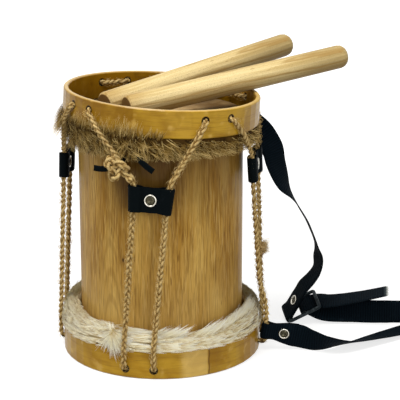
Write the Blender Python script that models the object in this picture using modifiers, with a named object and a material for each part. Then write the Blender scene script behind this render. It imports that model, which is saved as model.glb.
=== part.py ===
"""Bombo drum standing on the floor, with its rope, tugs, sticks and carrying strap.

Units are metres, +Z is up. Heights are named above the floor, and the root empty brings
the origin to the middle of the playing face. Azimuths are in degrees from -Y towards +X.
"""

import math

import bmesh
import bpy
from mathutils import Matrix, Vector

# Driving dimensions of the wooden drum
CLEARANCE = 0.0003
SHELL_RADIUS = 0.0844
SHELL_WALL = 0.0070
BEARING_EDGE = 0.0030
PLAYING_FACE_HEIGHT = 0.2515
LOWER_FACE_HEIGHT = 0.0210
SKIN_THICKNESS = 0.0012
HOOP_WALL = 0.0050
HOOP_EDGE_ROUND = 0.0012
HOLE_RADIUS = 0.0040
RING_STEPS = 48
HIDDEN_RING_STEPS = 36

TOP_HOOP_STAND_OFF = 0.0156
TOP_HOOP_RADIUS = SHELL_RADIUS + TOP_HOOP_STAND_OFF
TOP_HOOP_HEIGHT = 0.0278
TOP_HOLE_DROP = 0.0100
LEAN_PIVOT_DROP = 0.0105
LEAN_PIVOT_HEIGHT = PLAYING_FACE_HEIGHT - LEAN_PIVOT_DROP
TOP_HOOP_LIFT = 0.0049
LEAN_ANGLE = math.radians(3.56)
LEAN_HIGH_AZIMUTH = -84.0

BOTTOM_HOOP_STAND_OFF = 0.0189
BOTTOM_HOOP_RADIUS = SHELL_RADIUS + BOTTOM_HOOP_STAND_OFF
BOTTOM_HOOP_HEIGHT = 0.0290
BOTTOM_HOLE_RISE = 0.0095

# Flesh hoops, the rings that the skins are lapped round
FLESH_RADIUS = 0.0045
TOP_FLESH_STAND_OFF = 0.0069
TOP_FLESH_RING = SHELL_RADIUS + TOP_FLESH_STAND_OFF
BOTTOM_FLESH_STAND_OFF = 0.0106
BOTTOM_FLESH_RING = SHELL_RADIUS + BOTTOM_FLESH_STAND_OFF
TOP_SKIRT_LENGTH = 0.0195
BOTTOM_SKIRT_LENGTH = 0.0180
BOTTOM_SKIRT_FLARE = 0.0030

# Fur collars
LAP_THICKNESS = 0.0018
TOP_FUR_INSET = 0.0015
TOP_FUR_RADIUS = TOP_HOOP_RADIUS - TOP_FUR_INSET
TOP_FUR_LENGTH = 0.0325
BOTTOM_FUR_INSET = 0.0009
BOTTOM_FUR_RADIUS = BOTTOM_HOOP_RADIUS - BOTTOM_FUR_INSET
BOTTOM_FUR_LENGTH = 0.0250
FUR_TO_SHELL = 0.0026

# Tension rope
ROPE_RADIUS = 0.0027
ROPE_BEND = 0.0033
ROPE_TUG_BEND = 0.0080
ROPE_EDGE_BEND = 0.0200
ROPE_FOOT_BEND = 0.0400
ROPE_FACE_GAP = 0.0006
ROPE_TURN_STEP = 28.0
TOP_PAIRS = ((-47.0, 7.6), (39.5, 8.8), (128.0, 8.8), (218.5, 9.6))
BOTTOM_PAIRS = (-7.0, 92.0, 177.0, 268.5)
BOTTOM_HALF_SPREAD = 8.15
KNOT_AT = 0.77
KNOT_LENGTH = 0.0170
KNOT_WIDTH = 0.0125
KNOT_SWELL = 0.0008
LACE_WIDTH = 0.0034
LACE_THICKNESS = 0.0012
LACE_OVER_KNOT = KNOT_WIDTH / 2 + KNOT_SWELL + LACE_THICKNESS / 2 + CLEARANCE
LACE_STEP = 0.0040
# The lace's middle line from the knot's centre, in knot lengths: sideways and up, and its stand-off
LACE_ROUTE = (
    (-1.59, -0.35, 0.35),
    (-1.00, -0.29, 0.55),
    (-0.47, -0.06, 0.90),
    (0.00, 0.06, 1.00),
    (0.41, 0.18, 0.90),
    (0.88, 0.12, 0.70),
    (1.47, -0.35, 0.30),
)

# Tugs: azimuth, and height as a share of the playing face's height
TUGS = {
    "front": (0.0, 0.7336),
    "right": (83.0, 0.7992),
    "back": (174.0, 0.7793),
    "left": (268.0, 0.7793),
}
TUG_HEIGHT = 0.0260
TUG_WALL = 0.0017
TUG_INSET = 0.0019
TUG_MID_RADIUS = TOP_HOOP_RADIUS - TUG_INSET
TUG_TOP_SPREAD = 0.0181
TUG_BOTTOM_SPREAD = 0.0162
TUG_ROPE_PLAY = 0.0006
TUG_PINCH_GAP = 0.0008
TUG_BEND_RISE = 0.0055
RIVET_RADIUS = 0.0062
RIVET_STEM_RADIUS = 0.0030
RIVET_EYE_RADIUS = 0.0016
RIVET_FLANGE = 0.0011
RIVET_STEPS = 12

# Drumsticks: both ends of the axis, x and y in top hoop radii and the rise above the playing face
STICK_RADIUS = 0.0123
STICK_TIP_ROUND = 0.0080
STICK_BUTT_BEVEL = 0.0020
STICKS = {
    "stick_front": ((-0.288, -0.462, 0.0128), (1.874, 0.972, 0.0425)),
    "stick_back": ((-0.527, -0.334, 0.0128), (1.261, 1.570, 0.0442)),
}

# Carrying strap: its folds, its rivets and where it hangs on the rope
STRAP_WIDTH = 0.0250
STRAP_THICKNESS = 0.0014
STRAP_GATHER = 0.0160
STRAP_GATHER_RUN = 0.0300
STRAP_LAP = 0.0230
STRAP_RIVET_AT = 0.0150
STRAP_RIVET_RADIUS = 0.0055
STRAP_STEP = 0.0070
LOWER_LAP = 0.0340
LOWER_RIVET_AT = 0.0200
LOWER_START = 0.0095
STRAP_PAIR = 2
STRAP_ROPE_AT = 0.50
STRAP_BOW = 0.0010
STRAP_START = 0.0065
STRAP_FOOT_HEIGHT = 0.0215
STRAP_FOOT_PLAY = 0.0014
STRAP_FOOT_DROP = 0.18
STRAP_BULGE_AT = 0.30
STRAP_BAR_PLAY = 0.0004
STRAP_AWAY = (1.0, 0.10, 0.05)
# The upper length leaves the bar along the buckle and off its face, in these shares.
STRAP_LEAVE = (0.79, 0.61)
# Straight run before the long length turns round the middle bar.
STRAP_RUN_UP = 0.0080

# Buckle: its place is in bottom hoop radii, and its two directions are those of its length and its bars
BUCKLE_LENGTH = 0.0400
BUCKLE_THICKNESS = 0.0036
BUCKLE_BAR = 0.0036
BUCKLE_RAIL = 0.0030
BUCKLE_CORNER = 0.0040
BUCKLE_EDGE = 0.0006
BUCKLE_PLACE = (1.424, 0.763)
BUCKLE_HEIGHT = 0.0163
BUCKLE_ALONG = (0.883, 0.084, 0.461)
BUCKLE_ACROSS = (-0.250, 0.920, 0.310)

# The strap's routes: middle line, then width direction. x and y are in bottom hoop radii, and z is in
# playing face heights on the upper length and in strap widths on the other two.
# The upper length, from the rope to the buckle
UPPER_ROUTE = (
    ((0.892, 0.620, 0.900), (0.52, -0.25, 0.82)),
    ((0.970, 0.588, 0.872), (0.66, 0.00, 0.75)),
    ((1.038, 0.584, 0.832), (0.78, 0.25, 0.57)),
    ((1.097, 0.602, 0.785), (0.82, 0.44, 0.32)),
    ((1.130, 0.615, 0.727), (0.75, 0.61, 0.21)),
    ((1.205, 0.643, 0.642), (0.50, 0.85, 0.10)),
    ((1.295, 0.662, 0.583), (0.09, 0.98, -0.15)),
    ((1.360, 0.674, 0.538), (-0.03, 0.97, -0.24)),
    ((1.468, 0.689, 0.460), (-0.07, 0.96, -0.27)),
    ((1.562, 0.700, 0.361), (-0.10, 0.96, -0.26)),
    ((1.587, 0.692, 0.303), (-0.40, 0.88, -0.25)),
    ((1.569, 0.681, 0.241), (-0.32, 0.94, 0.05)),
)

# The long length, from the lower rope round the loop on the floor to the buckle
LONG_ROUTE = (
    ((1.549, -0.145, 0.500), (0.05, -0.25, 0.97)),
    ((1.665, -0.169, 0.440), (0.15, -0.55, 0.82)),
    ((1.781, -0.131, 0.350), (0.38, -0.68, 0.62)),
    ((1.907, -0.039, 0.256), (0.55, -0.72, 0.42)),
    ((2.062, 0.092, 0.205), (0.60, -0.74, 0.28)),
    ((2.246, 0.242, 0.184), (0.62, -0.76, 0.15)),
    ((2.459, 0.400, 0.180), (0.42, -0.90, 0.00)),
    ((2.700, 0.455, 0.320), (0.25, -0.90, -0.45)),
    ((2.865, 0.561, 0.500), (0.40, -0.30, -0.87)),
    ((2.836, 0.697, 0.524), (0.05, 0.05, -1.00)),
    ((2.672, 0.755, 0.524), (0.00, 0.02, -1.00)),
    ((2.449, 0.755, 0.524), (0.00, -0.08, -0.99)),
    ((2.200, 0.748, 0.510), (0.03, -0.25, -0.96)),
    ((1.980, 0.745, 0.515), (0.10, -0.50, -0.86)),
    ((1.820, 0.745, 0.490), (0.15, -0.62, -0.77)),
    ((1.665, 0.755, 0.460), (0.20, -0.78, -0.59)),
)

# The loose tail that comes out of the buckle
TAIL_ROUTE = (
    ((1.690, 0.770, 0.900), (0.20, -0.95, -0.24)),
    ((1.878, 0.755, 1.040), (0.12, -0.97, -0.18)),
    ((2.081, 0.741, 1.240), (0.02, -0.98, -0.14)),
    ((2.314, 0.726, 1.500), (0.00, -0.99, -0.10)),
)

COLLECTION = "bombo_drum"


def clear_scene():
    for item in list(bpy.data.objects):
        bpy.data.objects.remove(item, do_unlink=True)


def make_collection(name):
    made = bpy.data.collections.new(name)
    bpy.context.scene.collection.children.link(made)
    return made


def make_material(name, colour, roughness, metallic=0.0):
    made = bpy.data.materials.new(name)
    made.use_nodes = True
    shader = made.node_tree.nodes["Principled BSDF"]
    shader.inputs["Base Color"].default_value = (*colour, 1.0)
    shader.inputs["Roughness"].default_value = roughness
    shader.inputs["Metallic"].default_value = metallic
    made.diffuse_color = (*colour, 1.0)
    return made


def around(radius, azimuth, height=0.0):
    """A point at an azimuth in degrees, measured from -Y towards +X."""
    angle = math.radians(azimuth)
    return Vector((radius * math.sin(angle), -radius * math.cos(angle), height))


def add_empty(name, parent=None, location=(0, 0, 0)):
    made = bpy.data.objects.new(name, None)
    bpy.context.scene.collection.objects.link(made)
    made.parent = parent
    made.location = location
    return made


def add_object(name, data, material, parent):
    made = bpy.data.objects.new(name, data)
    parts.objects.link(made)
    made.parent = parent
    if material is not None:
        data.materials.append(material)
    return made


def mesh_from(name, vertices, faces):
    made = bpy.data.meshes.new(name)
    made.from_pydata([tuple(v) for v in vertices], [], faces)
    work = bmesh.new()
    work.from_mesh(made)
    bmesh.ops.recalc_face_normals(work, faces=work.faces)
    work.to_mesh(made)
    work.free()
    return made


def smooth(item, angle=40.0):
    item.data.shade_smooth()
    item.data.set_sharp_from_angle(angle=math.radians(angle))


def turned(name, profile, steps, material, parent):
    """A closed outline in (radius, height), or one that starts and ends on the axis."""
    mesh = bpy.data.meshes.new(name)
    count = len(profile)
    open_ended = profile[0][0] == 0.0
    edges = [(i, (i + 1) % count) for i in range(count - 1 if open_ended else count)]
    mesh.from_pydata([(r, 0.0, z) for r, z in profile], edges, [])
    made = add_object(name, mesh, material, parent)
    screw = made.modifiers.new("turn", "SCREW")
    screw.steps = steps
    screw.render_steps = steps
    screw.use_merge_vertices = True
    screw.merge_threshold = 0.00001
    screw.use_smooth_shade = True
    return made


def arc(centre, radius, start, end, count):
    """Points of a circle in the (radius, height) plane, angles in degrees."""
    out = []
    for i in range(count + 1):
        angle = math.radians(start + (end - start) * i / count)
        out.append((centre[0] + radius * math.cos(angle), centre[1] + radius * math.sin(angle)))
    return out


def make_shell():
    top = PLAYING_FACE_HEIGHT - SKIN_THICKNESS - CLEARANCE
    bottom = LOWER_FACE_HEIGHT + SKIN_THICKNESS + CLEARANCE
    outer = SHELL_RADIUS
    inner = SHELL_RADIUS - SHELL_WALL
    edge = BEARING_EDGE
    profile = [(inner, bottom + 2 * edge), (inner, top - 2 * edge)]
    profile += [(outer - edge - 0.3 * edge, top)]
    profile += arc((outer - edge, top - edge), edge, 90.0, 0.0, 2)
    profile += arc((outer - edge, bottom + edge), edge, 0.0, -90.0, 2)
    profile += [(outer - edge - 0.3 * edge, bottom)]
    return turned("shell", profile, RING_STEPS, WOOD_SHELL, root)


def hoop_profile(radius, low, high):
    inner = radius - HOOP_WALL
    round_off = HOOP_EDGE_ROUND
    return [
        (inner, low + round_off),
        (inner, high - round_off),
        (inner + round_off, high),
        (radius - round_off, high),
        (radius, high - round_off),
        (radius, low + round_off),
        (radius - round_off, low),
        (inner + round_off, low),
    ]


def drill(item, radius, height, azimuths, parent):
    """Radial rope holes through a hoop's wall, cut by one cutter mesh."""
    work = bmesh.new()
    for azimuth in azimuths:
        place = Matrix.Translation(around(radius - HOOP_WALL / 2, azimuth, height))
        turn = Matrix.Rotation(math.radians(azimuth), 4, "Z") @ Matrix.Rotation(math.pi / 2, 4, "X")
        bmesh.ops.create_cone(
            work,
            cap_ends=True,
            segments=12,
            radius1=HOLE_RADIUS,
            radius2=HOLE_RADIUS,
            depth=3 * HOOP_WALL,
            matrix=place @ turn,
        )
    mesh = bpy.data.meshes.new(item.name + "_holes")
    work.to_mesh(mesh)
    work.free()
    cutter = bpy.data.objects.new(item.name + "_holes", mesh)
    cutters.objects.link(cutter)
    cutter.parent = parent
    cutter.hide_render = True
    cutter.display_type = "WIRE"
    cut = item.modifiers.new("rope_holes", "BOOLEAN")
    cut.operation = "DIFFERENCE"
    cut.solver = "EXACT"
    cut.object = cutter


def top_hole_azimuths():
    return [middle + side * half for middle, half in TOP_PAIRS for side in (-1, 1)]


def bottom_hole_azimuths():
    return [middle + side * BOTTOM_HALF_SPREAD for middle in BOTTOM_PAIRS for side in (-1, 1)]


def make_hoops():
    low = TOP_HOOP_LIFT
    high = TOP_HOOP_LIFT + TOP_HOOP_HEIGHT
    top = turned("top_hoop", hoop_profile(TOP_HOOP_RADIUS, low, high), RING_STEPS, WOOD_HOOP, lean)
    drill(top, TOP_HOOP_RADIUS, high - TOP_HOLE_DROP, top_hole_azimuths(), lean)
    outline = hoop_profile(BOTTOM_HOOP_RADIUS, 0.0, BOTTOM_HOOP_HEIGHT)
    bottom = turned("bottom_hoop", outline, RING_STEPS, WOOD_HOOP, root)
    drill(bottom, BOTTOM_HOOP_RADIUS, BOTTOM_HOLE_RISE, bottom_hole_azimuths(), root)


def make_heads():
    """Each skin is a disc over the bearing edge with a skirt down to its flesh hoop."""
    inner = SHELL_RADIUS + CLEARANCE
    outer = inner + SKIN_THICKNESS
    face = PLAYING_FACE_HEIGHT
    foot = face - TOP_SKIRT_LENGTH
    under = face - SKIN_THICKNESS
    corner = BEARING_EDGE
    profile = [(0.0, face), (outer - corner, face)]
    profile += arc((outer - corner, face - corner), corner, 60.0, 0.0, 1)
    profile += [(outer, foot), (inner, foot)]
    inner_corner = corner - SKIN_THICKNESS
    profile += arc((inner - inner_corner, under - inner_corner), inner_corner, 0.0, 90.0, 1)
    profile += [(0.0, under)]
    turned("top_head", profile, RING_STEPS, SKIN, root)

    face = LOWER_FACE_HEIGHT
    under = face + SKIN_THICKNESS
    rim = face + BOTTOM_SKIRT_LENGTH
    flare = BOTTOM_SKIRT_FLARE
    profile = [(0.0, under), (inner - inner_corner, under)]
    profile += arc((inner - inner_corner, under + inner_corner), inner_corner, -60.0, 0.0, 1)
    profile += [(inner, under + corner), (inner + flare, rim - 2 * flare), (inner + flare, rim)]
    profile += [(outer + flare, rim), (outer + flare, rim - 2 * flare), (outer, under + corner)]
    profile += arc((outer - corner, face + corner), corner, 0.0, -60.0, 1)
    profile += [(outer - corner, face), (0.0, face)]
    turned("bottom_head", profile, HIDDEN_RING_STEPS, SKIN, root)


def make_flesh_and_fur():
    """The laps hold the flesh hoops under the wooden hoops and carry the fur outside."""
    reach = FLESH_RADIUS + CLEARANCE
    ring = TOP_FLESH_RING
    lap = TOP_HOOP_LIFT - CLEARANCE
    seat = lap - LAP_THICKNESS - reach
    circle = arc((ring, seat), FLESH_RADIUS, 180.0, -120.0, 5)
    turned("top_flesh_hoop", circle, HIDDEN_RING_STEPS, WOOD_HIDDEN, lean)
    low = lap - TOP_FUR_LENGTH
    inner = SHELL_RADIUS + FUR_TO_SHELL
    outer = TOP_FUR_RADIUS
    profile = arc((ring, seat), reach * 1.04, -90.0, 100.0, 4)
    profile += [(ring - 0.4 * reach, lap), (outer - 0.0015, lap), (outer, lap - 0.0020)]
    profile += [(outer - 0.0022, lap - 0.0110), (outer - 0.0055, lap - 0.0210)]
    profile += [(inner + 0.0040, low + 0.0020), (inner + 0.0012, low), (inner, low + 0.0022)]
    profile += [(inner, seat - reach - 0.0030)]
    turned("top_fur_collar", profile, HIDDEN_RING_STEPS, FUR_TOP, lean)

    ring = BOTTOM_FLESH_RING
    lap = BOTTOM_HOOP_HEIGHT + CLEARANCE
    seat = lap + LAP_THICKNESS + reach
    circle = arc((ring, seat), FLESH_RADIUS, 180.0, -120.0, 5)
    turned("bottom_flesh_hoop", circle, HIDDEN_RING_STEPS, WOOD_HIDDEN, root)
    high = lap + BOTTOM_FUR_LENGTH
    outer = BOTTOM_FUR_RADIUS
    profile = [(inner + 0.0012, high), (inner + 0.0050, high - 0.0020)]
    profile += [(outer - 0.0040, lap + 0.0170), (outer, lap + 0.0110)]
    profile += [(outer, lap + 0.0020), (outer - 0.0015, lap), (ring - 0.4 * reach, lap)]
    profile += arc((ring, seat), reach * 1.04, -100.0, 90.0, 4)
    profile += [(inner, seat + reach + 0.0040), (inner, high - 0.0022)]
    turned("bottom_fur_collar", profile, HIDDEN_RING_STEPS, FUR_BOTTOM, root)


def bent(points, bends):
    """A polyline with every inner corner rounded to its own bend radius."""
    out = [points[0]]
    for before, corner, after, bend in zip(points, points[1:], points[2:], bends[1:]):
        back = (before - corner).normalized()
        ahead = (after - corner).normalized()
        half = back.angle(ahead) / 2
        reach = bend / math.tan(half)
        room = 0.48 * min((before - corner).length, (after - corner).length)
        if reach < 0.0002:
            out.append(corner)
            continue
        reach = min(reach, room)
        radius = reach * math.tan(half)
        centre = corner + (back + ahead).normalized() * (radius / math.sin(half))
        first = corner + back * reach - centre
        last = corner + ahead * reach - centre
        sweep = first.angle(last)
        count = max(1, round(math.degrees(sweep) / ROPE_TURN_STEP))
        for i in range(count + 1):
            share = i / count
            weight_a = math.sin((1 - share) * sweep) / math.sin(sweep)
            weight_b = math.sin(share * sweep) / math.sin(sweep)
            out.append(centre + first * weight_a + last * weight_b)
    out.append(points[-1])
    return out


def tube(name, points, radius, material, parent, cyclic=False):
    curve = bpy.data.curves.new(name, "CURVE")
    curve.dimensions = "3D"
    curve.bevel_depth = radius
    curve.bevel_resolution = 2
    curve.use_fill_caps = True
    spline = curve.splines.new("POLY")
    spline.points.add(len(points) - 1)
    for spot, point in zip(spline.points, points):
        spot.co = (*point, 1.0)
    spline.use_cyclic_u = cyclic
    return add_object(name, curve, material, parent)


def lean_matrix():
    high = around(1.0, LEAN_HIGH_AZIMUTH)
    axis = Vector((high.y, -high.x, 0.0))
    pivot = Matrix.Translation((0.0, 0.0, LEAN_PIVOT_HEIGHT))
    return pivot @ Matrix.Rotation(LEAN_ANGLE, 4, axis)


class Tug:
    """A tug's middle and its axes: along down the rope pair, side across, out of the drum."""

    def __init__(self, azimuth, height, bottom_azimuth):
        self.azimuth = azimuth
        self.middle = around(TUG_MID_RADIUS, azimuth, height)
        spread = math.cos(math.radians(BOTTOM_HALF_SPREAD))
        self.foot = around(bottom_rope_radius() * spread, bottom_azimuth, BOTTOM_HOOP_HEIGHT)
        self.along = (self.foot - self.middle).normalized()
        tangent = around(1.0, azimuth + 90.0)
        self.side = (tangent - self.along * tangent.dot(self.along)).normalized()
        self.out = self.along.cross(self.side)
        if self.out.dot(self.middle) < 0:
            self.out = -self.out

    def point(self, side, down):
        share = 0.5 + down / TUG_HEIGHT
        spread = TUG_TOP_SPREAD + (TUG_BOTTOM_SPREAD - TUG_TOP_SPREAD) * share
        return self.middle + self.side * (side * spread) + self.along * down

    def matrix(self):
        axes = Matrix((self.side, self.out, -self.along)).transposed().to_4x4()
        return Matrix.Translation(self.middle) @ axes


def top_rope_radius():
    return TOP_HOOP_RADIUS + ROPE_RADIUS + ROPE_FACE_GAP


def bottom_rope_radius():
    return BOTTOM_HOOP_RADIUS + ROPE_RADIUS + ROPE_FACE_GAP


def strap_room():
    """How far a rope stands off where the webbing passes behind it."""
    return STRAP_THICKNESS + 2 * CLEARANCE


def top_run(azimuth, tug, side, lift=0.0):
    """The rope from inside the top hoop, out of a hole and down to a tug's top edge."""
    hole = TOP_HOOP_LIFT + TOP_HOOP_HEIGHT - TOP_HOLE_DROP
    inside = TOP_HOOP_RADIUS - HOOP_WALL - ROPE_RADIUS - ROPE_FACE_GAP
    outside = top_rope_radius() + lift
    edge_height = TOP_HOOP_LIFT + 0.0010
    landing = tug.point(side, -TUG_HEIGHT / 2 - TUG_BEND_RISE)
    local = leaning.inverted() @ landing
    target = math.degrees(math.atan2(local.x, -local.y))
    target += 360.0 * round((azimuth - target) / 360.0)
    share = (hole - edge_height) / (hole - local.z)
    edge_azimuth = azimuth + (target - azimuth) * share
    return [
        (leaning @ around(inside, azimuth, hole), ROPE_BEND),
        (leaning @ around(outside, azimuth, hole), ROPE_BEND),
        (leaning @ around(outside, edge_azimuth, edge_height), ROPE_EDGE_BEND),
        (landing, ROPE_TUG_BEND),
        (tug.point(side, TUG_HEIGHT / 2), ROPE_FOOT_BEND),
    ]


def bottom_run(azimuth, lift=0.0):
    """The rope from the bottom hoop's upper edge down its face and in at a hole."""
    outside = bottom_rope_radius() + lift
    inside = BOTTOM_HOOP_RADIUS - HOOP_WALL - ROPE_RADIUS - ROPE_FACE_GAP
    return [
        (around(outside, azimuth, BOTTOM_HOOP_HEIGHT + 0.0020 + 4 * lift), ROPE_FOOT_BEND),
        (around(outside, azimuth, BOTTOM_HOLE_RISE), ROPE_BEND),
        (around(inside, azimuth, BOTTOM_HOLE_RISE), ROPE_BEND),
    ]


def rope_corners():
    """Every corner of the rope in order, from the knot round the drum and back to it."""
    tug_list = [tugs[name] for name in ("front", "right", "back", "left")]
    corners = []
    for index, tug in enumerate(tug_list):
        pair, spread = TOP_PAIRS[index]
        next_pair, next_spread = TOP_PAIRS[(index + 1) % len(TOP_PAIRS)]
        if index == len(tug_list) - 1:
            next_pair += 360.0
        left = top_run(pair + spread, tug, -1, hook_room() if tug is tugs["back"] else 0.0)
        right = top_run(next_pair - next_spread, tug, 1)
        foot = bottom_run(BOTTOM_PAIRS[index] - BOTTOM_HALF_SPREAD)
        corners += left
        if tug is tugs["right"]:
            bulge = foot[0][0].lerp(left[-1][0], STRAP_BULGE_AT)
            corners.append((bulge, ROPE_FOOT_BEND))
            foot = bottom_run(BOTTOM_PAIRS[index] - BOTTOM_HALF_SPREAD, foot_room())
        corners += foot
        corners += reversed(bottom_run(BOTTOM_PAIRS[index] + BOTTOM_HALF_SPREAD))
        corners += reversed(right)
    return corners


def make_rope():
    """One rope: it leaves the knot on the front tug's left branch and comes back to it."""
    corners = rope_corners()
    start, _bend = corners[2]
    landing, _bend = corners[3]
    middle = start.lerp(landing, KNOT_AT)
    along = (landing - start).normalized()
    half = KNOT_LENGTH / 2
    route = [(middle + along * half, 0.0)] + corners[3:] + corners[:3]
    route.append((middle - along * half, 0.0))
    points = bent([p for p, _b in route], [b for _p, b in route])
    tube("tension_rope", points, ROPE_RADIUS, ROPE, root)
    make_knot(middle, along)
    make_lace(middle)


def make_knot(middle, along):
    """A lumpy knot with two waists, turned about the rope that it closes."""
    half = KNOT_LENGTH / 2 - CLEARANCE
    profile = [(0.0, half), (ROPE_RADIUS, half)]
    lobes = 3
    rows = 9
    for row in range(1, rows):
        share = row / rows
        height = half * (1 - 2 * share)
        envelope = math.sin(math.pi * share) ** 0.5
        ripple = 0.86 + 0.14 * abs(math.cos(lobes * math.pi * (share - 0.5)))
        profile.append((KNOT_WIDTH / 2 * envelope * ripple + KNOT_SWELL, height))
    profile += [(ROPE_RADIUS, -half), (0.0, -half)]
    made = turned("rope_knot", profile, 12, ROPE, root)
    made.location = middle
    made.rotation_mode = "QUATERNION"
    made.rotation_quaternion = along.to_track_quat("Z", "Y")


def make_lace(middle):
    """A strip of skin laid over the knot, its two ends standing off to the sides."""
    outward = Vector((middle.x, middle.y, 0.0)).normalized()
    up = Vector((0.0, 0.0, 1.0))
    aside = up.cross(outward)
    route = []
    for sideways, rise, share in LACE_ROUTE:
        spot = middle + (aside * sideways + up * rise) * KNOT_LENGTH + outward * (LACE_OVER_KNOT * share)
        route.append((spot, up))
    rows = smooth_route(route, LACE_STEP)
    ribbon("skin_lace", rows, [LACE_WIDTH] * len(rows), LACE_THICKNESS, LEATHER)


def sleeve_section(spread, wall, count=4):
    """Half thickness of the sleeve across its width, pinched between the two ropes."""
    channel = ROPE_RADIUS + TUG_ROPE_PLAY + wall
    pinch = TUG_PINCH_GAP / 2 + wall
    inner_end = TUG_BOTTOM_SPREAD - 1.7 * ROPE_RADIUS
    flat = RIVET_RADIUS + 2 * CLEARANCE
    out = [(0.0, pinch)]
    for i in range(count + 1):
        x = flat + (spread - flat) * math.sin(math.pi / 2 * i / count)
        blend = min(1.0, max(0.0, (x - flat) / (inner_end - flat)))
        blend = blend * blend * (3 - 2 * blend)
        out.append((x, pinch + (channel - pinch) * blend))
    return out


def sleeve_loop(spread, shrink):
    """A closed loop of the sleeve's outside, or its inside where shrink is the wall."""
    rows = sleeve_section(spread, TUG_WALL)
    right = [(x, half - shrink) for x, half in rows]
    end_x, end_half = rows[-1]
    radius = end_half - shrink
    for i in range(1, 4):
        angle = math.radians(90.0 - 45.0 * i)
        right.append((end_x + radius * math.cos(angle), radius * math.sin(angle)))
    right.append((end_x, -radius))
    loop = right + [(x, -y) for x, y in reversed(right[: len(rows) - 1])]
    return loop + [(-x, -y) for x, y in loop[1:-1]]


def make_tug(name):
    tug = tugs[name]
    rings = []
    for share in (0.0, 0.5, 1.0):
        spread = TUG_TOP_SPREAD + (TUG_BOTTOM_SPREAD - TUG_TOP_SPREAD) * share
        z = TUG_HEIGHT * (0.5 - share)
        outer = [(x, y, z) for x, y in sleeve_loop(spread, 0.0)]
        inner = [(x, y, z) for x, y in sleeve_loop(spread, TUG_WALL)]
        rings.append((outer, inner))
    order = [outer for outer, _inner in rings] + [inner for _outer, inner in reversed(rings)]
    count = len(order[0])
    vertices = [point for ring in order for point in ring]
    faces = []
    for ring in range(len(order)):
        following = (ring + 1) % len(order)
        for i in range(count):
            j = (i + 1) % count
            faces.append((ring * count + i, ring * count + j, following * count + j, following * count + i))
    mesh = mesh_from("tug_" + name, vertices, faces)
    made = add_object("tug_" + name, mesh, LEATHER, root)
    made.matrix_local = tug.matrix()
    smooth(made, 50.0)
    half = TUG_WALL + TUG_PINCH_GAP / 2
    rivet = make_rivet("tug_rivet_" + name, RIVET_RADIUS, half)
    turn = Matrix.Rotation(-math.pi / 2, 4, "X")
    rivet.matrix_local = tug.matrix() @ turn
    drill_leather(made, tug.matrix() @ turn)


def make_rivet(name, radius, half):
    """An eyelet: two domed flanges on a hollow stem through the leather."""
    eye = RIVET_EYE_RADIUS * radius / RIVET_RADIUS
    stem = RIVET_STEM_RADIUS * radius / RIVET_RADIUS
    face = half + CLEARANCE
    top = face + RIVET_FLANGE
    profile = [
        (eye, -top),
        (eye, top),
        (radius - 0.0012, top - 0.0002),
        (radius, face),
        (stem, face),
        (stem, -face),
        (radius, -face),
        (radius - 0.0012, -top + 0.0002),
    ]
    return turned(name, profile, RIVET_STEPS, METAL, root)


def drill_leather(item, place, radius=RIVET_STEM_RADIUS):
    work = bmesh.new()
    size = radius + CLEARANCE
    bmesh.ops.create_cone(work, cap_ends=True, segments=16, radius1=size, radius2=size, depth=12 * TUG_WALL)
    mesh = bpy.data.meshes.new(item.name + "_hole")
    work.to_mesh(mesh)
    work.free()
    cutter = bpy.data.objects.new(item.name + "_hole", mesh)
    cutters.objects.link(cutter)
    cutter.parent = root
    cutter.matrix_local = place
    cutter.hide_render = True
    cutter.display_type = "WIRE"
    cut = item.modifiers.new("rivet_hole", "BOOLEAN")
    cut.operation = "DIFFERENCE"
    cut.solver = "EXACT"
    cut.object = cutter


def make_sticks():
    for name, ends in STICKS.items():
        near, far = (
            Vector((TOP_HOOP_RADIUS * x, TOP_HOOP_RADIUS * y, PLAYING_FACE_HEIGHT + rise)) for x, y, rise in ends
        )
        axis = far - near
        length = axis.length
        bevel = STICK_BUTT_BEVEL
        rounding = STICK_TIP_ROUND
        profile = [(0.0, length)]
        tip = arc((STICK_RADIUS - rounding, length - rounding), rounding, 90.0, 0.0, 4)
        profile += tip
        profile += [(STICK_RADIUS, bevel), (STICK_RADIUS - bevel, 0.0), (0.0, 0.0)]
        made = turned(name, profile, 20, WOOD_STICK, root)
        made.location = near
        made.rotation_mode = "QUATERNION"
        made.rotation_quaternion = axis.to_track_quat("Z", "Y")


def smooth_route(route, step):
    """Middle points and width directions read from a smooth curve through a route's own."""
    points = [Vector(point) for point, _width in route]
    widths = [Vector(width).normalized() for _point, width in route]
    out = []
    for i in range(len(points) - 1):
        spans = []
        for row in (points, widths):
            before = row[max(0, i - 1)]
            after = row[min(len(row) - 1, i + 2)]
            spans.append((before, row[i], row[i + 1], after))
        pieces = max(1, round((points[i + 1] - points[i]).length / step))
        for j in range(pieces):
            out.append(tuple(between(span, j / pieces) for span in spans))
    out.append((points[-1], widths[-1]))
    return [(point, width.normalized()) for point, width in out]


def between(span, share):
    """A Catmull-Rom curve between the two middle values of four."""
    before, start, end, after = span
    square = share * share
    cube = square * share
    bend = 2 * start + (end - before) * share + (2 * before - 5 * start + 4 * end - after) * square
    return 0.5 * (bend + (3 * start - before - 3 * end + after) * cube)


def frames(rows):
    """Each row's middle, width, face normal and run length, square to one another."""
    out = []
    run = 0.0
    for i, (point, width) in enumerate(rows):
        ahead = rows[min(i + 1, len(rows) - 1)][0]
        behind = rows[max(i - 1, 0)][0]
        tangent = (ahead - behind).normalized()
        width = (width - tangent * width.dot(tangent)).normalized()
        normal = width.cross(tangent).normalized()
        if i:
            run += (point - rows[i - 1][0]).length
        out.append((point, width, normal, tangent, run))
    return out


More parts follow.
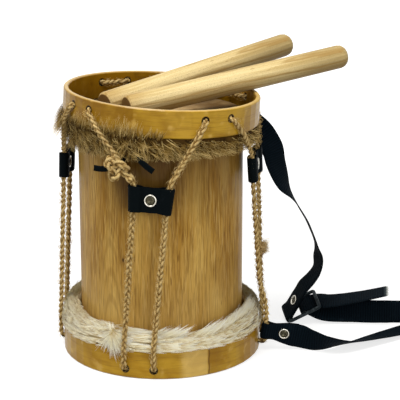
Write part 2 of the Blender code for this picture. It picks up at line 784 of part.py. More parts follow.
def folded(rows, bar_radius, lap, side):
    """The run that starts at a bar's axis, with its end folded round the bar and back."""
    reach = bar_radius + CLEARANCE + STRAP_THICKNESS / 2
    beside = (STRAP_THICKNESS + 1.5 * CLEARANCE) / 2
    placed = frames(rows)
    point, width, normal, tangent, _run = placed[0]
    normal = normal * side
    opening = 2 * reach
    back = []
    front = []
    for spot, spot_width, spot_normal, _t, run in placed[1:]:
        share = min(1.0, run / opening)
        share = share * share * (3 - 2 * share)
        offset = reach + (beside - reach) * share
        away = spot_normal * side * offset
        if run < lap:
            back.append((spot - away, spot_width))
        fade = min(1.0, max(0.0, (run - lap - 0.004) / 0.012))
        front.append((spot + away * (1 - fade), spot_width))
    bend = []
    for i in range(9):
        angle = math.radians(-90.0 + 22.5 * i)
        bend.append((point - tangent * (reach * math.cos(angle)) + normal * (reach * math.sin(angle)), width))
    return list(reversed(back)) + bend + front


def gathered(point, hook):
    """The webbing's width, drawn in where it is folded round a rope."""
    share = min(1.0, (point - hook).length / STRAP_GATHER_RUN)
    return STRAP_GATHER + (STRAP_WIDTH - STRAP_GATHER) * share * share * (3 - 2 * share)


def above_floor(rows):
    """The same run, raised wherever the webbing's lower edge would sink into the floor."""
    for _settle in range(3):
        lifted = []
        for (spot, width), (_p, across, normal, _t, _run) in zip(rows, frames(rows)):
            lowest = abs(across.z) * STRAP_WIDTH / 2 + abs(normal.z) * STRAP_THICKNESS / 2 + CLEARANCE
            lifted.append((Vector((spot.x, spot.y, max(spot.z, lowest))), width))
        rows = lifted
    return rows


def ribbon(name, rows, widths, thickness, material):
    """A flat strip lofted through square sections, its quads split the same way on both faces."""
    vertices = []
    for (point, across, normal, _tangent, _run), width in zip(frames(rows), widths):
        side = across * (width / 2)
        face = normal * (thickness / 2)
        vertices += [point - side - face, point + side - face, point + side + face, point - side + face]
    count = len(rows)
    faces = [(3, 2, 1, 0), (4 * count - 4, 4 * count - 3, 4 * count - 2, 4 * count - 1)]
    for i in range(count - 1):
        low_a, low_b, high_b, high_a = range(4 * i, 4 * i + 4)
        faces += [(low_a, low_b, low_b + 4), (low_a, low_b + 4, low_a + 4)]
        faces += [(high_b, high_a, high_b + 4), (high_a, high_a + 4, high_b + 4)]
        faces += [(low_b, high_b, high_b + 4, low_b + 4), (high_a, low_a, low_a + 4, high_a + 4)]
    return add_object(name, mesh_from(name, vertices, faces), material, root)


def strap_rivet(name, strap, rows, distance):
    """A rivet through both layers of a fold, at its own distance from the bar."""
    placed = frames(rows)
    spot = min(placed, key=lambda row: abs(row[4] - distance))
    point, width, normal, tangent, _run = spot
    axes = Matrix((width, tangent, width.cross(tangent))).transposed().to_4x4()
    place = Matrix.Translation(point) @ axes
    half = STRAP_THICKNESS + 0.75 * CLEARANCE
    rivet = make_rivet(name, STRAP_RIVET_RADIUS, half)
    rivet.matrix_local = place
    drill_leather(strap, place, RIVET_STEM_RADIUS * STRAP_RIVET_RADIUS / RIVET_RADIUS)


def buckle_middle():
    x, y = BUCKLE_PLACE
    return Vector((BOTTOM_HOOP_RADIUS * x, BOTTOM_HOOP_RADIUS * y, BUCKLE_HEIGHT))


def placed_route(route, height):
    """A route's points in metres: x and y in hoop radii, z in shares of a height."""
    scale = (BOTTOM_HOOP_RADIUS, BOTTOM_HOOP_RADIUS, height)
    return [(tuple(value * unit for value, unit in zip(point, scale)), width) for point, width in route]


def buckle_axes():
    along = Vector(BUCKLE_ALONG).normalized()
    across = Vector(BUCKLE_ACROSS)
    across = (across - along * across.dot(along)).normalized()
    return along, across, along.cross(across)


def rounded_box(width, height, corner, middle=0.0):
    out = []
    for turn, (sx, sy) in enumerate(((1, 1), (-1, 1), (-1, -1), (1, -1))):
        centre = (middle + sx * (width / 2 - corner), sy * (height / 2 - corner))
        out += arc(centre, corner, 90.0 * turn, 90.0 * turn + 90.0, 3)
    return out


def make_buckle():
    """A slide with two slots and three bars, standing on its corner on the floor."""
    slot = STRAP_WIDTH + 4 * CLEARANCE
    outline = [rounded_box(BUCKLE_LENGTH, slot + 2 * BUCKLE_RAIL, BUCKLE_CORNER)]
    opening = (BUCKLE_LENGTH - 3 * BUCKLE_BAR) / 2
    for side in (-1, 1):
        middle = side * (opening + BUCKLE_BAR) / 2
        outline.append(rounded_box(opening, slot, 0.0010, middle)[::-1])
    curve = bpy.data.curves.new("strap_buckle", "CURVE")
    curve.dimensions = "2D"
    curve.fill_mode = "BOTH"
    curve.extrude = BUCKLE_THICKNESS / 2 - BUCKLE_EDGE
    curve.bevel_depth = BUCKLE_EDGE
    curve.bevel_resolution = 0
    curve.offset = -BUCKLE_EDGE
    for points in outline:
        spline = curve.splines.new("POLY")
        spline.points.add(len(points) - 1)
        for spot, (x, y) in zip(spline.points, points):
            spot.co = (x, y, 0.0, 1.0)
        spline.use_cyclic_u = True
    made = add_object("strap_buckle", curve, BUCKLE_METAL, root)
    along, across, face = buckle_axes()
    made.location = buckle_middle()
    made.rotation_euler = Matrix((along, across, face)).transposed().to_euler()
    weld = made.modifiers.new("weld", "WELD")
    weld.merge_threshold = 0.00001


def strap_routes():
    """Middle lines of both lengths, from the ropes and bars that hold them."""
    along, across, face = buckle_axes()
    middle = buckle_middle()
    bar = (BUCKLE_LENGTH - BUCKLE_BAR) / 2
    low_bar = middle - along * bar
    high_bar = middle + along * bar
    leave = (along * STRAP_LEAVE[0] + face * STRAP_LEAVE[1]).normalized()

    pair, spread = TOP_PAIRS[STRAP_PAIR]
    hooked_run = top_run(pair + spread, tugs["back"], -1, hook_room())
    hole_exit = hooked_run[1][0]
    hoop_edge = hooked_run[2][0]
    hook = hole_exit.lerp(hoop_edge, STRAP_ROPE_AT)
    rope_line = (hole_exit - hoop_edge).normalized()
    outward = Vector((hook.x, hook.y, 0.0)).normalized()
    hang = outward.cross(rope_line).normalized()
    upper = [(hook + hang * (STRAP_START * i), rope_line) for i in range(5)]
    upper += placed_route(UPPER_ROUTE, PLAYING_FACE_HEIGHT)
    upper += [(low_bar + leave * (LOWER_START * i), across) for i in reversed(range(5))]

    foot_azimuth = BOTTOM_PAIRS[1] - BOTTOM_HALF_SPREAD
    foot = around(bottom_rope_radius() + foot_room(), foot_azimuth, STRAP_FOOT_HEIGHT)
    out = Vector((1.0, 0.05, -STRAP_FOOT_DROP)).normalized()
    up = Vector((STRAP_FOOT_DROP, 0.0, 1.0)).normalized()
    long_way = [(foot + out * (LOWER_START * i), up) for i in range(5)]
    long_way += placed_route(LONG_ROUTE, STRAP_WIDTH)
    away = Vector(STRAP_AWAY)
    away = (away - across * away.dot(across)).normalized()
    above = away.cross(across)
    reach = bar_reach() + CLEARANCE + STRAP_THICKNESS / 2
    long_way += [(middle + away * STRAP_RUN_UP - above * (reach + CLEARANCE), -across)]
    long_way += [(middle - above * reach, -across)]
    bend = []
    for i in range(1, 8):
        angle = math.radians(-90.0 + 22.5 * i)
        spot = middle - away * (reach * math.cos(angle)) + above * (reach * math.sin(angle))
        bend.append((spot, -across))
    under_bar = high_bar - face * (reach + STRAP_BAR_PLAY)
    tail = [(middle + above * reach, -across), (under_bar, -across)]
    tail += placed_route(TAIL_ROUTE, STRAP_WIDTH)
    long_way = smooth_route(long_way, STRAP_STEP) + bend + smooth_route(tail, STRAP_STEP)
    return smooth_route(upper, STRAP_STEP), above_floor(long_way)


def hook_room():
    """How far the upper rope stands off where the strap is folded round it."""
    return strap_room() + STRAP_BOW


def foot_room():
    """How far the lower rope stands off for the strap, which crosses it at a slight slope."""
    return strap_room() + 2 * STRAP_FOOT_PLAY


def bar_reach():
    """From a buckle bar's axis to its chamfered corner."""
    return math.hypot(BUCKLE_BAR / 2, BUCKLE_THICKNESS / 2 - BUCKLE_EDGE)


def make_strap():
    upper, long_way = strap_routes()
    backwards = list(reversed(upper))
    half = len(upper) // 2
    top_fold = folded(upper, ROPE_RADIUS, STRAP_LAP, -1)
    low_fold = list(reversed(folded(backwards, bar_reach(), LOWER_LAP, -1)))
    rows = top_fold[: len(top_fold) - half] + low_fold[len(upper) - half :]
    widths = [gathered(spot, upper[0][0]) for spot, _width in rows]
    strap = ribbon("strap_upper", rows, widths, STRAP_THICKNESS, WEBBING)
    strap_rivet("strap_rivet_top", strap, upper, STRAP_RIVET_AT)
    strap_rivet("strap_rivet_buckle", strap, backwards, LOWER_RIVET_AT)
    rows = folded(long_way, ROPE_RADIUS + STRAP_FOOT_PLAY, LOWER_LAP, -1)
    widths = [gathered(spot, long_way[0][0]) for spot, _width in rows]
    strap = ribbon("strap_long", rows, widths, STRAP_THICKNESS, WEBBING)
    strap_rivet("strap_rivet_foot", strap, long_way, LOWER_RIVET_AT)


clear_scene()
parts = make_collection(COLLECTION)
cutters = make_collection("cutters")
root = add_empty("drum_root", location=(0.0, 0.0, -PLAYING_FACE_HEIGHT))
leaning = lean_matrix()
lean = add_empty("top_lean", parent=root)
lean.matrix_local = leaning

WOOD_SHELL = make_material("shell_wood", (0.40, 0.22, 0.08), 0.5)
WOOD_HOOP = make_material("hoop_wood", (0.49, 0.28, 0.06), 0.4)
WOOD_HIDDEN = make_material("flesh_hoop_wood", (0.42, 0.30, 0.16), 0.7)
WOOD_STICK = make_material("stick_wood", (0.72, 0.54, 0.26), 0.45)
SKIN = make_material("skin", (0.62, 0.52, 0.36), 0.6)
FUR_TOP = make_material("top_fur", (0.22, 0.15, 0.09), 0.9)
FUR_BOTTOM = make_material("bottom_fur", (0.70, 0.60, 0.40), 0.9)
ROPE = make_material("rope", (0.42, 0.27, 0.11), 0.85)
LEATHER = make_material("leather", (0.012, 0.014, 0.016), 0.5)
WEBBING = make_material("webbing", (0.006, 0.010, 0.014), 0.8)
METAL = make_material("rivet_metal", (0.65, 0.63, 0.58), 0.3, 1.0)
BUCKLE_METAL = make_material("buckle", (0.05, 0.055, 0.06), 0.4, 0.6)

tugs = {}
for place, (name, (azimuth, share)) in enumerate(TUGS.items()):
    tugs[name] = Tug(azimuth, share * PLAYING_FACE_HEIGHT, BOTTOM_PAIRS[place])

make_shell()
make_hoops()
make_heads()
make_flesh_and_fur()
make_rope()
for name in TUGS:
    make_tug(name)
make_sticks()
make_buckle()
make_strap()
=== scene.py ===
# %% [markdown]
# # A small bombo drum, dressed
#
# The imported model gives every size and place. This script gives each part its look: honey coloured
# hoops, a shell of striped wood, a jute rope of three strands, black leather tugs, two furs and a
# webbing strap. Lengths are in metres, and heights in the shape code are measured from the floor.

# %% Load the frame
import math

import bmesh
import bpy
import numpy as np
from mathutils import Matrix, Vector, noise


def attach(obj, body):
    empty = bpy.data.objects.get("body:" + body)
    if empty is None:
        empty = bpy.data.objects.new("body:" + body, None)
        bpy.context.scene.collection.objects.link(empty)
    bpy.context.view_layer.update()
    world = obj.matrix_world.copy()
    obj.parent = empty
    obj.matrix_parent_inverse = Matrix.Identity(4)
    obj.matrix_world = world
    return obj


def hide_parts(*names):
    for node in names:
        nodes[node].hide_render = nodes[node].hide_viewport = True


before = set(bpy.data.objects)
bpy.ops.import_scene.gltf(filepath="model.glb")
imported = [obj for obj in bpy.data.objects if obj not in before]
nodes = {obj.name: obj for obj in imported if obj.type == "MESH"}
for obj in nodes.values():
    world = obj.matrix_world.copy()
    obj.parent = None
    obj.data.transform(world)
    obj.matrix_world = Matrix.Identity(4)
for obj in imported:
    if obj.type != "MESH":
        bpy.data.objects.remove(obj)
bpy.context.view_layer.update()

# %% [markdown]
# ## Sizes shared with the solids
#
# The rope, the tugs and the strap follow the same formulas as the solids, so their numbers are
# named once here. Azimuth 0 is the front, 90 the right-hand side.

# %% Sizes
FACE_HEIGHT = 0.2515
SHELL_RADIUS = 0.0844
TOP_HOOP_RADIUS = 0.1000
TOP_HOOP_HEIGHT = 0.0278
TOP_HOOP_LIFT = 0.0049
TOP_HOLE_DROP = 0.0100
LEAN_PIVOT_HEIGHT = 0.2410
LEAN_ANGLE = math.radians(3.56)
LEAN_HIGH_AZIMUTH = -84.0
BOTTOM_HOOP_RADIUS = 0.1033
BOTTOM_HOOP_HEIGHT = 0.0290
BOTTOM_HOLE_RISE = 0.0095
HOOP_WALL = 0.0050
HOLE_RADIUS = 0.0040
CLEARANCE = 0.0003

ROPE_RADIUS = 0.0027
ROPE_BEND = 0.0033
ROPE_TUG_BEND = 0.0080
ROPE_EDGE_BEND = 0.0200
ROPE_FOOT_BEND = 0.0400
ROPE_FACE_GAP = 0.0006
TOP_PAIRS = ((-47.0, 7.6), (39.5, 8.8), (128.0, 8.8), (218.5, 9.6))
BOTTOM_PAIRS = (-7.0, 92.0, 177.0, 268.5)
BOTTOM_HALF_SPREAD = 8.15
KNOT_AT = 0.77
KNOT_LENGTH = 0.0170
TUGS = {"front": (0.0, 0.1845), "right": (83.0, 0.2010), "back": (174.0, 0.1960), "left": (268.0, 0.1960)}
TUG_HEIGHT = 0.0260
TUG_WALL = 0.0017
TUG_MID_RADIUS = 0.0981
TUG_TOP_SPREAD = 0.0181
TUG_BOTTOM_SPREAD = 0.0162
TUG_ROPE_PLAY = 0.0006
TUG_PINCH_GAP = 0.0008
TUG_BEND_RISE = 0.0055

STRAP_WIDTH = 0.0250
STRAP_THICKNESS = 0.0014
STRAP_GATHER = 0.0160
STRAP_GATHER_RUN = 0.0300
rng = np.random.default_rng(7)
print("drum %.0f mm wide at the bottom hoop" % (2000 * BOTTOM_HOOP_RADIUS))

# %% [markdown]
# ## Shader sums
#
# A `Value` wraps one output socket, so that shader maths reads like arithmetic. Each operator adds
# one Math node. A `Graph` is a material's tree, and its `node` method adds every other kind of node:
# the type, then its settings, then its inputs.

# %% Value and Graph
class Value:
    """An output socket that can be added, multiplied and so on."""

    def __init__(self, graph, socket):
        self.graph = graph
        self.socket = socket

    def math(self, operation, *others, clamp=False):
        inputs = dict(enumerate((self,) + others))
        return self.graph.node("ShaderNodeMath", {"operation": operation, "use_clamp": clamp}, inputs)

    def __add__(self, other):
        return self.math("ADD", other)

    def __radd__(self, other):
        return self.math("ADD", other)

    def __sub__(self, other):
        return self.math("SUBTRACT", other)

    def __rsub__(self, other):
        return (self * -1.0).math("ADD", other)

    def __mul__(self, other):
        return self.math("MULTIPLY", other)

    def __rmul__(self, other):
        return self.math("MULTIPLY", other)

    def __truediv__(self, other):
        return self.math("DIVIDE", other)

    def __rtruediv__(self, other):
        return self.math("POWER", -1.0) * other

    def __pow__(self, other):
        return self.math("POWER", other)

    def __rpow__(self, other):
        return (self * math.log(other)).math("EXPONENT")

    def __neg__(self):
        return self * -1.0

    def sine(self):
        return self.math("SINE")

    def absolute(self):
        return self.math("ABSOLUTE")

    def between(self, low, high, smooth=True):
        """0 below low, 1 above high."""
        kind = "SMOOTHSTEP" if smooth else "LINEAR"
        inputs = {"Value": self, "From Min": low, "From Max": high}
        return self.graph.node("ShaderNodeMapRange", {"interpolation_type": kind}, inputs)


class Graph:
    """A new material and the one method that adds nodes to it."""

    def __init__(self, name, owner=None):
        self.material = owner or bpy.data.materials.new(name)
        self.material.use_nodes = True
        self.tree = self.material.node_tree
        self.tree.nodes.clear()

    def node(self, kind, settings=None, inputs=None, output=0):
        made = self.tree.nodes.new(kind)
        for key, value in (settings or {}).items():
            setattr(made, key, value)
        for key, value in (inputs or {}).items():
            if isinstance(value, Value):
                self.tree.links.new(value.socket, made.inputs[key])
            else:
                made.inputs[key].default_value = value
        return Value(self, made.outputs[output])

    def object_point(self):
        return self.node("ShaderNodeTexCoord", output="Object")

    def attribute(self, name, output="Fac"):
        return self.node("ShaderNodeAttribute", {"attribute_name": name}, output=output)

    def scaled(self, vector, scale):
        inputs = {0: vector, 1: scale}
        return self.node("ShaderNodeVectorMath", {"operation": "MULTIPLY"}, inputs)

    def noise(self, vector, scale, detail=3.0, roughness=0.5, distortion=0.0):
        inputs = {"Vector": vector, "Scale": scale, "Detail": detail, "Roughness": roughness,
                  "Distortion": distortion}
        return self.node("ShaderNodeTexNoise", {"noise_dimensions": "3D"}, inputs)

    def mix(self, share, first, second, blend="MIX"):
        """Two colours or colour values mixed by a share from 0 to 1."""
        settings = {"data_type": "RGBA", "blend_type": blend}
        return self.node("ShaderNodeMix", settings, {0: share, 6: first, 7: second}, output=2)

    def bump(self, height, strength, distance):
        return self.node("ShaderNodeBump", None, {"Strength": strength, "Distance": distance, "Height": height})

    def surface(self, colour, roughness, normal=None, **fixed):
        inputs = {"Base Color": colour, "Roughness": roughness, "Specular IOR Level": 0.10}
        if normal is not None:
            inputs["Normal"] = normal
        inputs.update({key.replace("_", " "): value for key, value in fixed.items()})
        shader = self.node("ShaderNodeBsdfPrincipled", None, inputs)
        self.node_output(shader)
        return self.material

    def node_output(self, shader):
        made = self.tree.nodes.new("ShaderNodeOutputMaterial")
        self.tree.links.new(shader.socket, made.inputs["Surface"])


def srgb(red, green, blue):
    """A screen colour in 0 to 255 as a linear colour."""
    def linear(channel):
        share = channel / 255.0
        return share / 12.92 if share <= 0.04045 else ((share + 0.055) / 1.055) ** 2.4
    return (linear(red), linear(green), linear(blue), 1.0)


print("mid grey 128 is %.3f as a linear value" % srgb(128, 128, 128)[0])

# %% [markdown]
# ## Camera, floor and light
#
# The camera stands 1.5 m away and looks down by about 16 degrees, as solved from the hoops'
# ellipses. The room is white, and two large soft lamps shape the round shell.

# %% Camera
scene = bpy.context.scene
scene.view_settings.view_transform = "Standard"
lens = bpy.data.cameras.new("camera")
lens.lens = 132.26
lens.sensor_width = 36.0
camera = bpy.data.objects.new("camera", lens)
scene.collection.objects.link(camera)
camera.location = (0.1533, -1.4583, 0.3184)
camera.rotation_mode = "QUATERNION"
camera.rotation_quaternion = Vector((-0.07435, 0.95969, -0.27107)).to_track_quat("-Z", "Y")
scene.camera = camera
print("camera", [round(v, 3) for v in camera.location])

# %% Floor and light
def seen_directly(graph):
    """1 for what the camera sees itself or in a reflection, 0 for the light that reaches the drum."""
    path = graph.node("ShaderNodeLightPath", output="Is Camera Ray")
    glossy = graph.node("ShaderNodeLightPath", output="Is Glossy Ray")
    through = graph.node("ShaderNodeLightPath", output="Is Transmission Ray")
    return (path + glossy + through).math("MINIMUM", 1.0)


graph = Graph("floor_white")
away = graph.node("ShaderNodeVectorMath", {"operation": "LENGTH"}, {0: graph.object_point()}, output=1)
under = away.between(0.098, 0.103)
white = seen_directly(graph) * under * (away.between(0.35, 1.00) * 0.28 + 0.74)
glow = graph.mix(white, (0.0, 0.0, 0.0, 1.0), (1.0, 1.0, 1.0, 1.0))
graph.surface(srgb(170, 170, 168), 0.9, None, Emission_Color=glow, Emission_Strength=1.0)
floor_mesh = bpy.data.meshes.new("floor")
reach = 6.0
floor_mesh.from_pydata([(-reach, -reach, 0), (reach, -reach, 0), (reach, reach, 0), (-reach, reach, 0)], [],
                       [(0, 1, 2, 3)])
floor = bpy.data.objects.new("floor", floor_mesh)
scene.collection.objects.link(floor)
floor.location = (0.0, 0.0, -FACE_HEIGHT - 0.0002)
floor_mesh.materials.append(graph.material)

sky = Graph("studio", bpy.data.worlds.new("studio"))
scene.world = sky.material
level = seen_directly(sky) * 0.70 + 0.30
shade = sky.node("ShaderNodeBackground", None, {"Color": (1.0, 1.0, 1.0, 1.0), "Strength": level})
out = sky.tree.nodes.new("ShaderNodeOutputWorld")
sky.tree.links.new(shade.socket, out.inputs[0])


def soft_lamp(name, place, towards, size, power):
    lamp = bpy.data.lights.new(name, "AREA")
    lamp.size = size
    lamp.energy = power
    item = bpy.data.objects.new(name, lamp)
    scene.collection.objects.link(item)
    item.location = place
    item.rotation_mode = "QUATERNION"
    item.rotation_quaternion = (Vector(towards) - Vector(place)).to_track_quat("-Z", "Y")
    return item


soft_lamp("lamp_over", (-0.30, -0.50, 1.9), (0.0, 0.0, -0.10), 1.0, 40.0)
soft_lamp("lamp_front", (0.9, -1.8, 0.4), (0.0, 0.0, -0.10), 1.2, 15.0)
soft_lamp("lamp_left", (-1.5, -1.1, 0.5), (0.0, 0.0, -0.12), 1.0, 4.0)

# %% [markdown]
# ## Making pieces
#
# Every new piece is one mesh. Its points are given by height above the floor and moved down here
# into the frame, whose origin is the middle of the playing face.

# %% Piece helpers
def around(radius, azimuth, height=0.0):
    angle = math.radians(azimuth)
    return Vector((radius * math.sin(angle), -radius * math.cos(angle), height))


def piece(name, vertices, faces, material, body, replaced=(), attributes=None, flat=False):
    """One mesh piece that rides on a body and may stand for solids of the frame."""
    points = np.asarray(vertices, dtype=float).reshape(-1, 3) - (0.0, 0.0, FACE_HEIGHT)
    mesh = bpy.data.meshes.new(name)
    mesh.from_pydata(points.tolist(), [], faces)
    mesh.update()
    for key, values in (attributes or {}).items():
        layer = mesh.attributes.new(key, "FLOAT", "POINT")
        layer.data.foreach_set("value", np.asarray(values, dtype=float))
    if not flat:
        mesh.shade_smooth()
    made = bpy.data.objects.new(name, mesh)
    scene.collection.objects.link(made)
    mesh.materials.append(material)
    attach(made, body)
    if replaced:
        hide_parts(*replaced)
    return made


def paint(node_names, material):
    """Gives nodes of the frame a better material."""
    for name in node_names:
        mesh = nodes[name].data
        mesh.materials.clear()
        mesh.materials.append(material)


def grid_faces(rows, columns, closed_rows=False, closed_columns=False, first=0):
    """Quads over a grid of points stored row by row."""
    out = []
    for row in range(rows if closed_rows else rows - 1):
        for column in range(columns if closed_columns else columns - 1):
            a = first + row * columns + column
            b = first + row * columns + (column + 1) % columns
            c = first + (row + 1) % rows * columns + (column + 1) % columns
            d = first + (row + 1) % rows * columns + column
            out.append((a, b, c, d))
    return out


def ripple(point, scale, seed=0.0):
    """Smooth noise from -1 to 1 at a point, with bumps of about 1 / scale metres."""
    return noise.noise(Vector(point) * scale + Vector((seed, 1.7 * seed, -seed)))


print("grid of 3 by 4 points:", len(grid_faces(3, 4)), "quads")

# %% [markdown]
# ## Wood
#
# Each wood has a direction of grain. Noise stretched along it gives streaks, and a second, finer
# noise gives the pores. The hoops are bent strips, so their grain runs round the drum: the
# coordinates there are the azimuth, the height and the distance from the axis.

# %% Wood materials
def streaks(graph, point, across, along, detail=4.0):
    """Noise drawn out along one direction: scale across the grain, scale along it."""
    return graph.noise(graph.scaled(point, along), across, detail, 0.6, 0.3)


def dot(graph, vector, direction):
    return graph.node("ShaderNodeVectorMath", {"operation": "DOT_PRODUCT"}, {0: vector, 1: tuple(direction)}, output=1)


def along_axes(graph, point, start, axes):
    """A point measured from a start along three directions."""
    moved = graph.node("ShaderNodeVectorMath", {"operation": "SUBTRACT"}, {0: point, 1: tuple(start)})
    parts = [dot(graph, moved, axis) for axis in axes]
    return graph.node("ShaderNodeCombineXYZ", None, dict(enumerate(parts))), parts


def round_the_drum(graph, point):
    """Azimuth times radius, distance from the axis and height, for grain that runs round."""
    parts = [graph.node("ShaderNodeSeparateXYZ", None, {0: point}, output=i) for i in range(3)]
    x, y, z = parts
    angle = x.math("ARCTAN2", -y)
    radius = (x * x + y * y).math("SQRT")
    made = graph.node("ShaderNodeCombineXYZ", None, {0: angle * 0.1, 1: radius, 2: z})
    return made, angle, radius, z


def near_hole(graph, angle, z, radius, azimuths, height):
    """1 in the bored holes of a hoop, 0 beyond their rims."""
    nearest = None
    for azimuth in azimuths:
        turned = math.radians((azimuth + 180.0) % 360.0 - 180.0)
        across = (angle - turned) * radius
        off = (across * across + (z - height) ** 2.0).math("SQRT")
        nearest = off if nearest is None else nearest.math("MINIMUM", off)
    return 1.0 - nearest.between(HOLE_RADIUS + 0.0001, HOLE_RADIUS + 0.0007)


def hoop_wood(name, tones, outside, point_of, holes, seam=None, rim=None, joint=None):
    """Honey varnished hoop: paler rim, darker inside, painted shade in the holes; a seam with a painted highlight
    beside it and a joint, each at its azimuth when given.
    """
    graph = Graph(name)
    point, angle, radius, z = round_the_drum(graph, point_of(graph))
    patches = graph.noise(point, 34.0, 3.0, 0.5, 0.6)
    grain = streaks(graph, point, 110.0, (0.16, 1.0, 2.4))
    fine = streaks(graph, point, 700.0, (0.06, 1.0, 1.2), 2.0)
    low, high = tones
    sunny = patches.between(0.36, 0.66) * 0.6
    if joint is not None:
        edge = math.radians(joint)
        sunny = sunny + angle.between(edge - 0.012, edge + 0.012) * 0.28 + angle.between(edge, edge + 0.5) * 0.12
    else:
        sunny = sunny + 0.2
    colour = graph.mix(sunny, srgb(*low), srgb(*high))
    colour = graph.mix(grain.between(0.45, 0.72) * 0.5, colour, srgb(134, 88, 14))
    colour = graph.mix(fine.between(0.52, 0.76) * 0.34, colour, srgb(104, 64, 12))
    blotch = graph.noise(point, 80.0, 2.0).between(0.58, 0.76)
    colour = graph.mix(blotch * 0.50, colour, srgb(216, 178, 92))
    if seam is not None:
        edge = math.radians(seam)
        # Painted highlight: a paler panel beside the seam, on its side towards the front.
        seam_highlight = angle.between(edge - 0.33, edge - 0.22) * (1.0 - angle.between(edge - 0.03, edge))
        colour = graph.mix(seam_highlight * 0.45, colour, srgb(238, 204, 124))
        line = (z * 420.0).sine() * 0.003
        crack = 1.0 - (angle - edge + line).absolute().between(0.004, 0.013)
        shade = angle.between(edge - 0.01, edge + 0.01) * (1.0 - angle.between(edge + 0.05, edge + 0.25))
        colour = graph.mix(shade * 0.4, colour, srgb(132, 90, 22))
        colour = graph.mix(crack * 0.72, colour, srgb(92, 60, 18))
    inside = 1.0 - radius.between(outside - 0.0046, outside - 0.0034)
    streak = patches.between(0.45, 0.60) * 0.25 + 0.62
    colour = graph.mix(inside * streak, colour, srgb(146, 102, 8))
    stain = graph.noise(point, 60.0, 3.0, 0.6).between(0.52, 0.66)
    colour = graph.mix(inside * stain * 0.45, colour, srgb(92, 60, 4))
    if rim is not None:
        colour = graph.mix(z.between(rim - 0.0010, rim - 0.0002) * 0.62, colour, srgb(222, 190, 124))
    azimuths, height = holes
    # Painted shade: each hole's wall and rim are darkened almost to black, as if the hole lay in shade.
    colour = graph.mix(near_hole(graph, angle, z, outside, azimuths, height) * 0.94, colour, srgb(34, 20, 8))
    normal = graph.bump(grain * 0.6 + fine * 0.4, 0.12, 0.0006)
    return graph.surface(colour, grain * 0.16 + 0.24, normal, Coat_Weight=0.10, Coat_Roughness=0.14)


def leaning_point(graph):
    """A point in the top hoop's own axes."""
    start = leaning.translation - Vector((0.0, 0.0, FACE_HEIGHT))
    return along_axes(graph, graph.object_point(), start, leaning.to_3x3().transposed())[0]


def lean_matrix():
    high = around(1.0, LEAN_HIGH_AZIMUTH)
    axis = Vector((high.y, -high.x, 0.0))
    pivot = Matrix.Translation((0.0, 0.0, LEAN_PIVOT_HEIGHT))
    return pivot @ Matrix.Rotation(LEAN_ANGLE, 4, axis)


def top_hole_azimuths():
    return [middle + side * half for middle, half in TOP_PAIRS for side in (-1, 1)]


def bottom_hole_azimuths():
    return [middle + side * BOTTOM_HALF_SPREAD for middle in BOTTOM_PAIRS for side in (-1, 1)]


leaning = lean_matrix()
top_rim = TOP_HOOP_LIFT + TOP_HOOP_HEIGHT
top_tones = ((134, 93, 2), (192, 150, 42))
low_tones = ((160, 114, 10), (196, 154, 44))
top_holes = (top_hole_azimuths(), top_rim - TOP_HOLE_DROP)
bottom_holes = (bottom_hole_azimuths(), BOTTOM_HOLE_RISE - FACE_HEIGHT)
paint(["top_hoop"], hoop_wood("hoop_top_wood", top_tones, TOP_HOOP_RADIUS, leaning_point, top_holes,
                              rim=top_rim, joint=-10.4))
paint(["bottom_hoop"], hoop_wood("hoop_bottom_wood", low_tones, BOTTOM_HOOP_RADIUS, Graph.object_point,
                                 bottom_holes, seam=33.0, rim=BOTTOM_HOOP_HEIGHT - FACE_HEIGHT))
print("hoops: 2, with", len(top_holes[0]) + len(bottom_holes[0]), "holes")

# %% Shell wood
graph = Graph("shell_wood")
point, angle, radius, z = round_the_drum(graph, graph.object_point())
wide = streaks(graph, point, 60.0, (1.0, 1.0, 0.14))
narrow = streaks(graph, point, 430.0, (1.0, 1.0, 0.06), 3.0)
pores = streaks(graph, point, 980.0, (1.0, 1.0, 0.045), 2.0)
colour = graph.mix(wide.between(0.28, 0.70), srgb(168, 121, 40), srgb(202, 161, 82))
drift = graph.noise(graph.scaled(point, (1.0, 1.0, 0.7)), 17.0, 2.0, 0.5, 0.6)
colour = graph.mix(drift.between(0.46, 0.62) * 0.34, colour, srgb(138, 98, 32))
colour = graph.mix(narrow.between(0.46, 0.68) * 0.58, colour, srgb(132, 90, 20))
colour = graph.mix(pores.between(0.50, 0.62) * 0.56, colour, srgb(98, 62, 16))
bright_pores = streaks(graph, point, 800.0, (1.0, 1.0, 0.05), 1.0).between(0.56, 0.70)
colour = graph.mix(bright_pores * 0.40, colour, srgb(224, 186, 112))
light = graph.noise(graph.scaled(point, (1.0, 1.0, 0.3)), 22.0, 2.0).between(0.45, 0.70)
colour = graph.mix(light * 0.50, colour, srgb(214, 176, 94))
# Painted light: the shell's lower part is paler, as if lit by light bounced off the floor.
colour = graph.mix((1.0 - z.between(-0.235, -0.130)) * 0.30, colour, srgb(230, 194, 116))
# Painted shadow: the shell is darkened under the top hoop and its fur, most from just left of the front round to the
# right.
fur_shadow = z.between(-0.112, -0.022) * (angle.between(-0.78, -0.42) * 0.52 + 0.18)
colour = graph.mix(fur_shadow, colour, srgb(78, 48, 2))
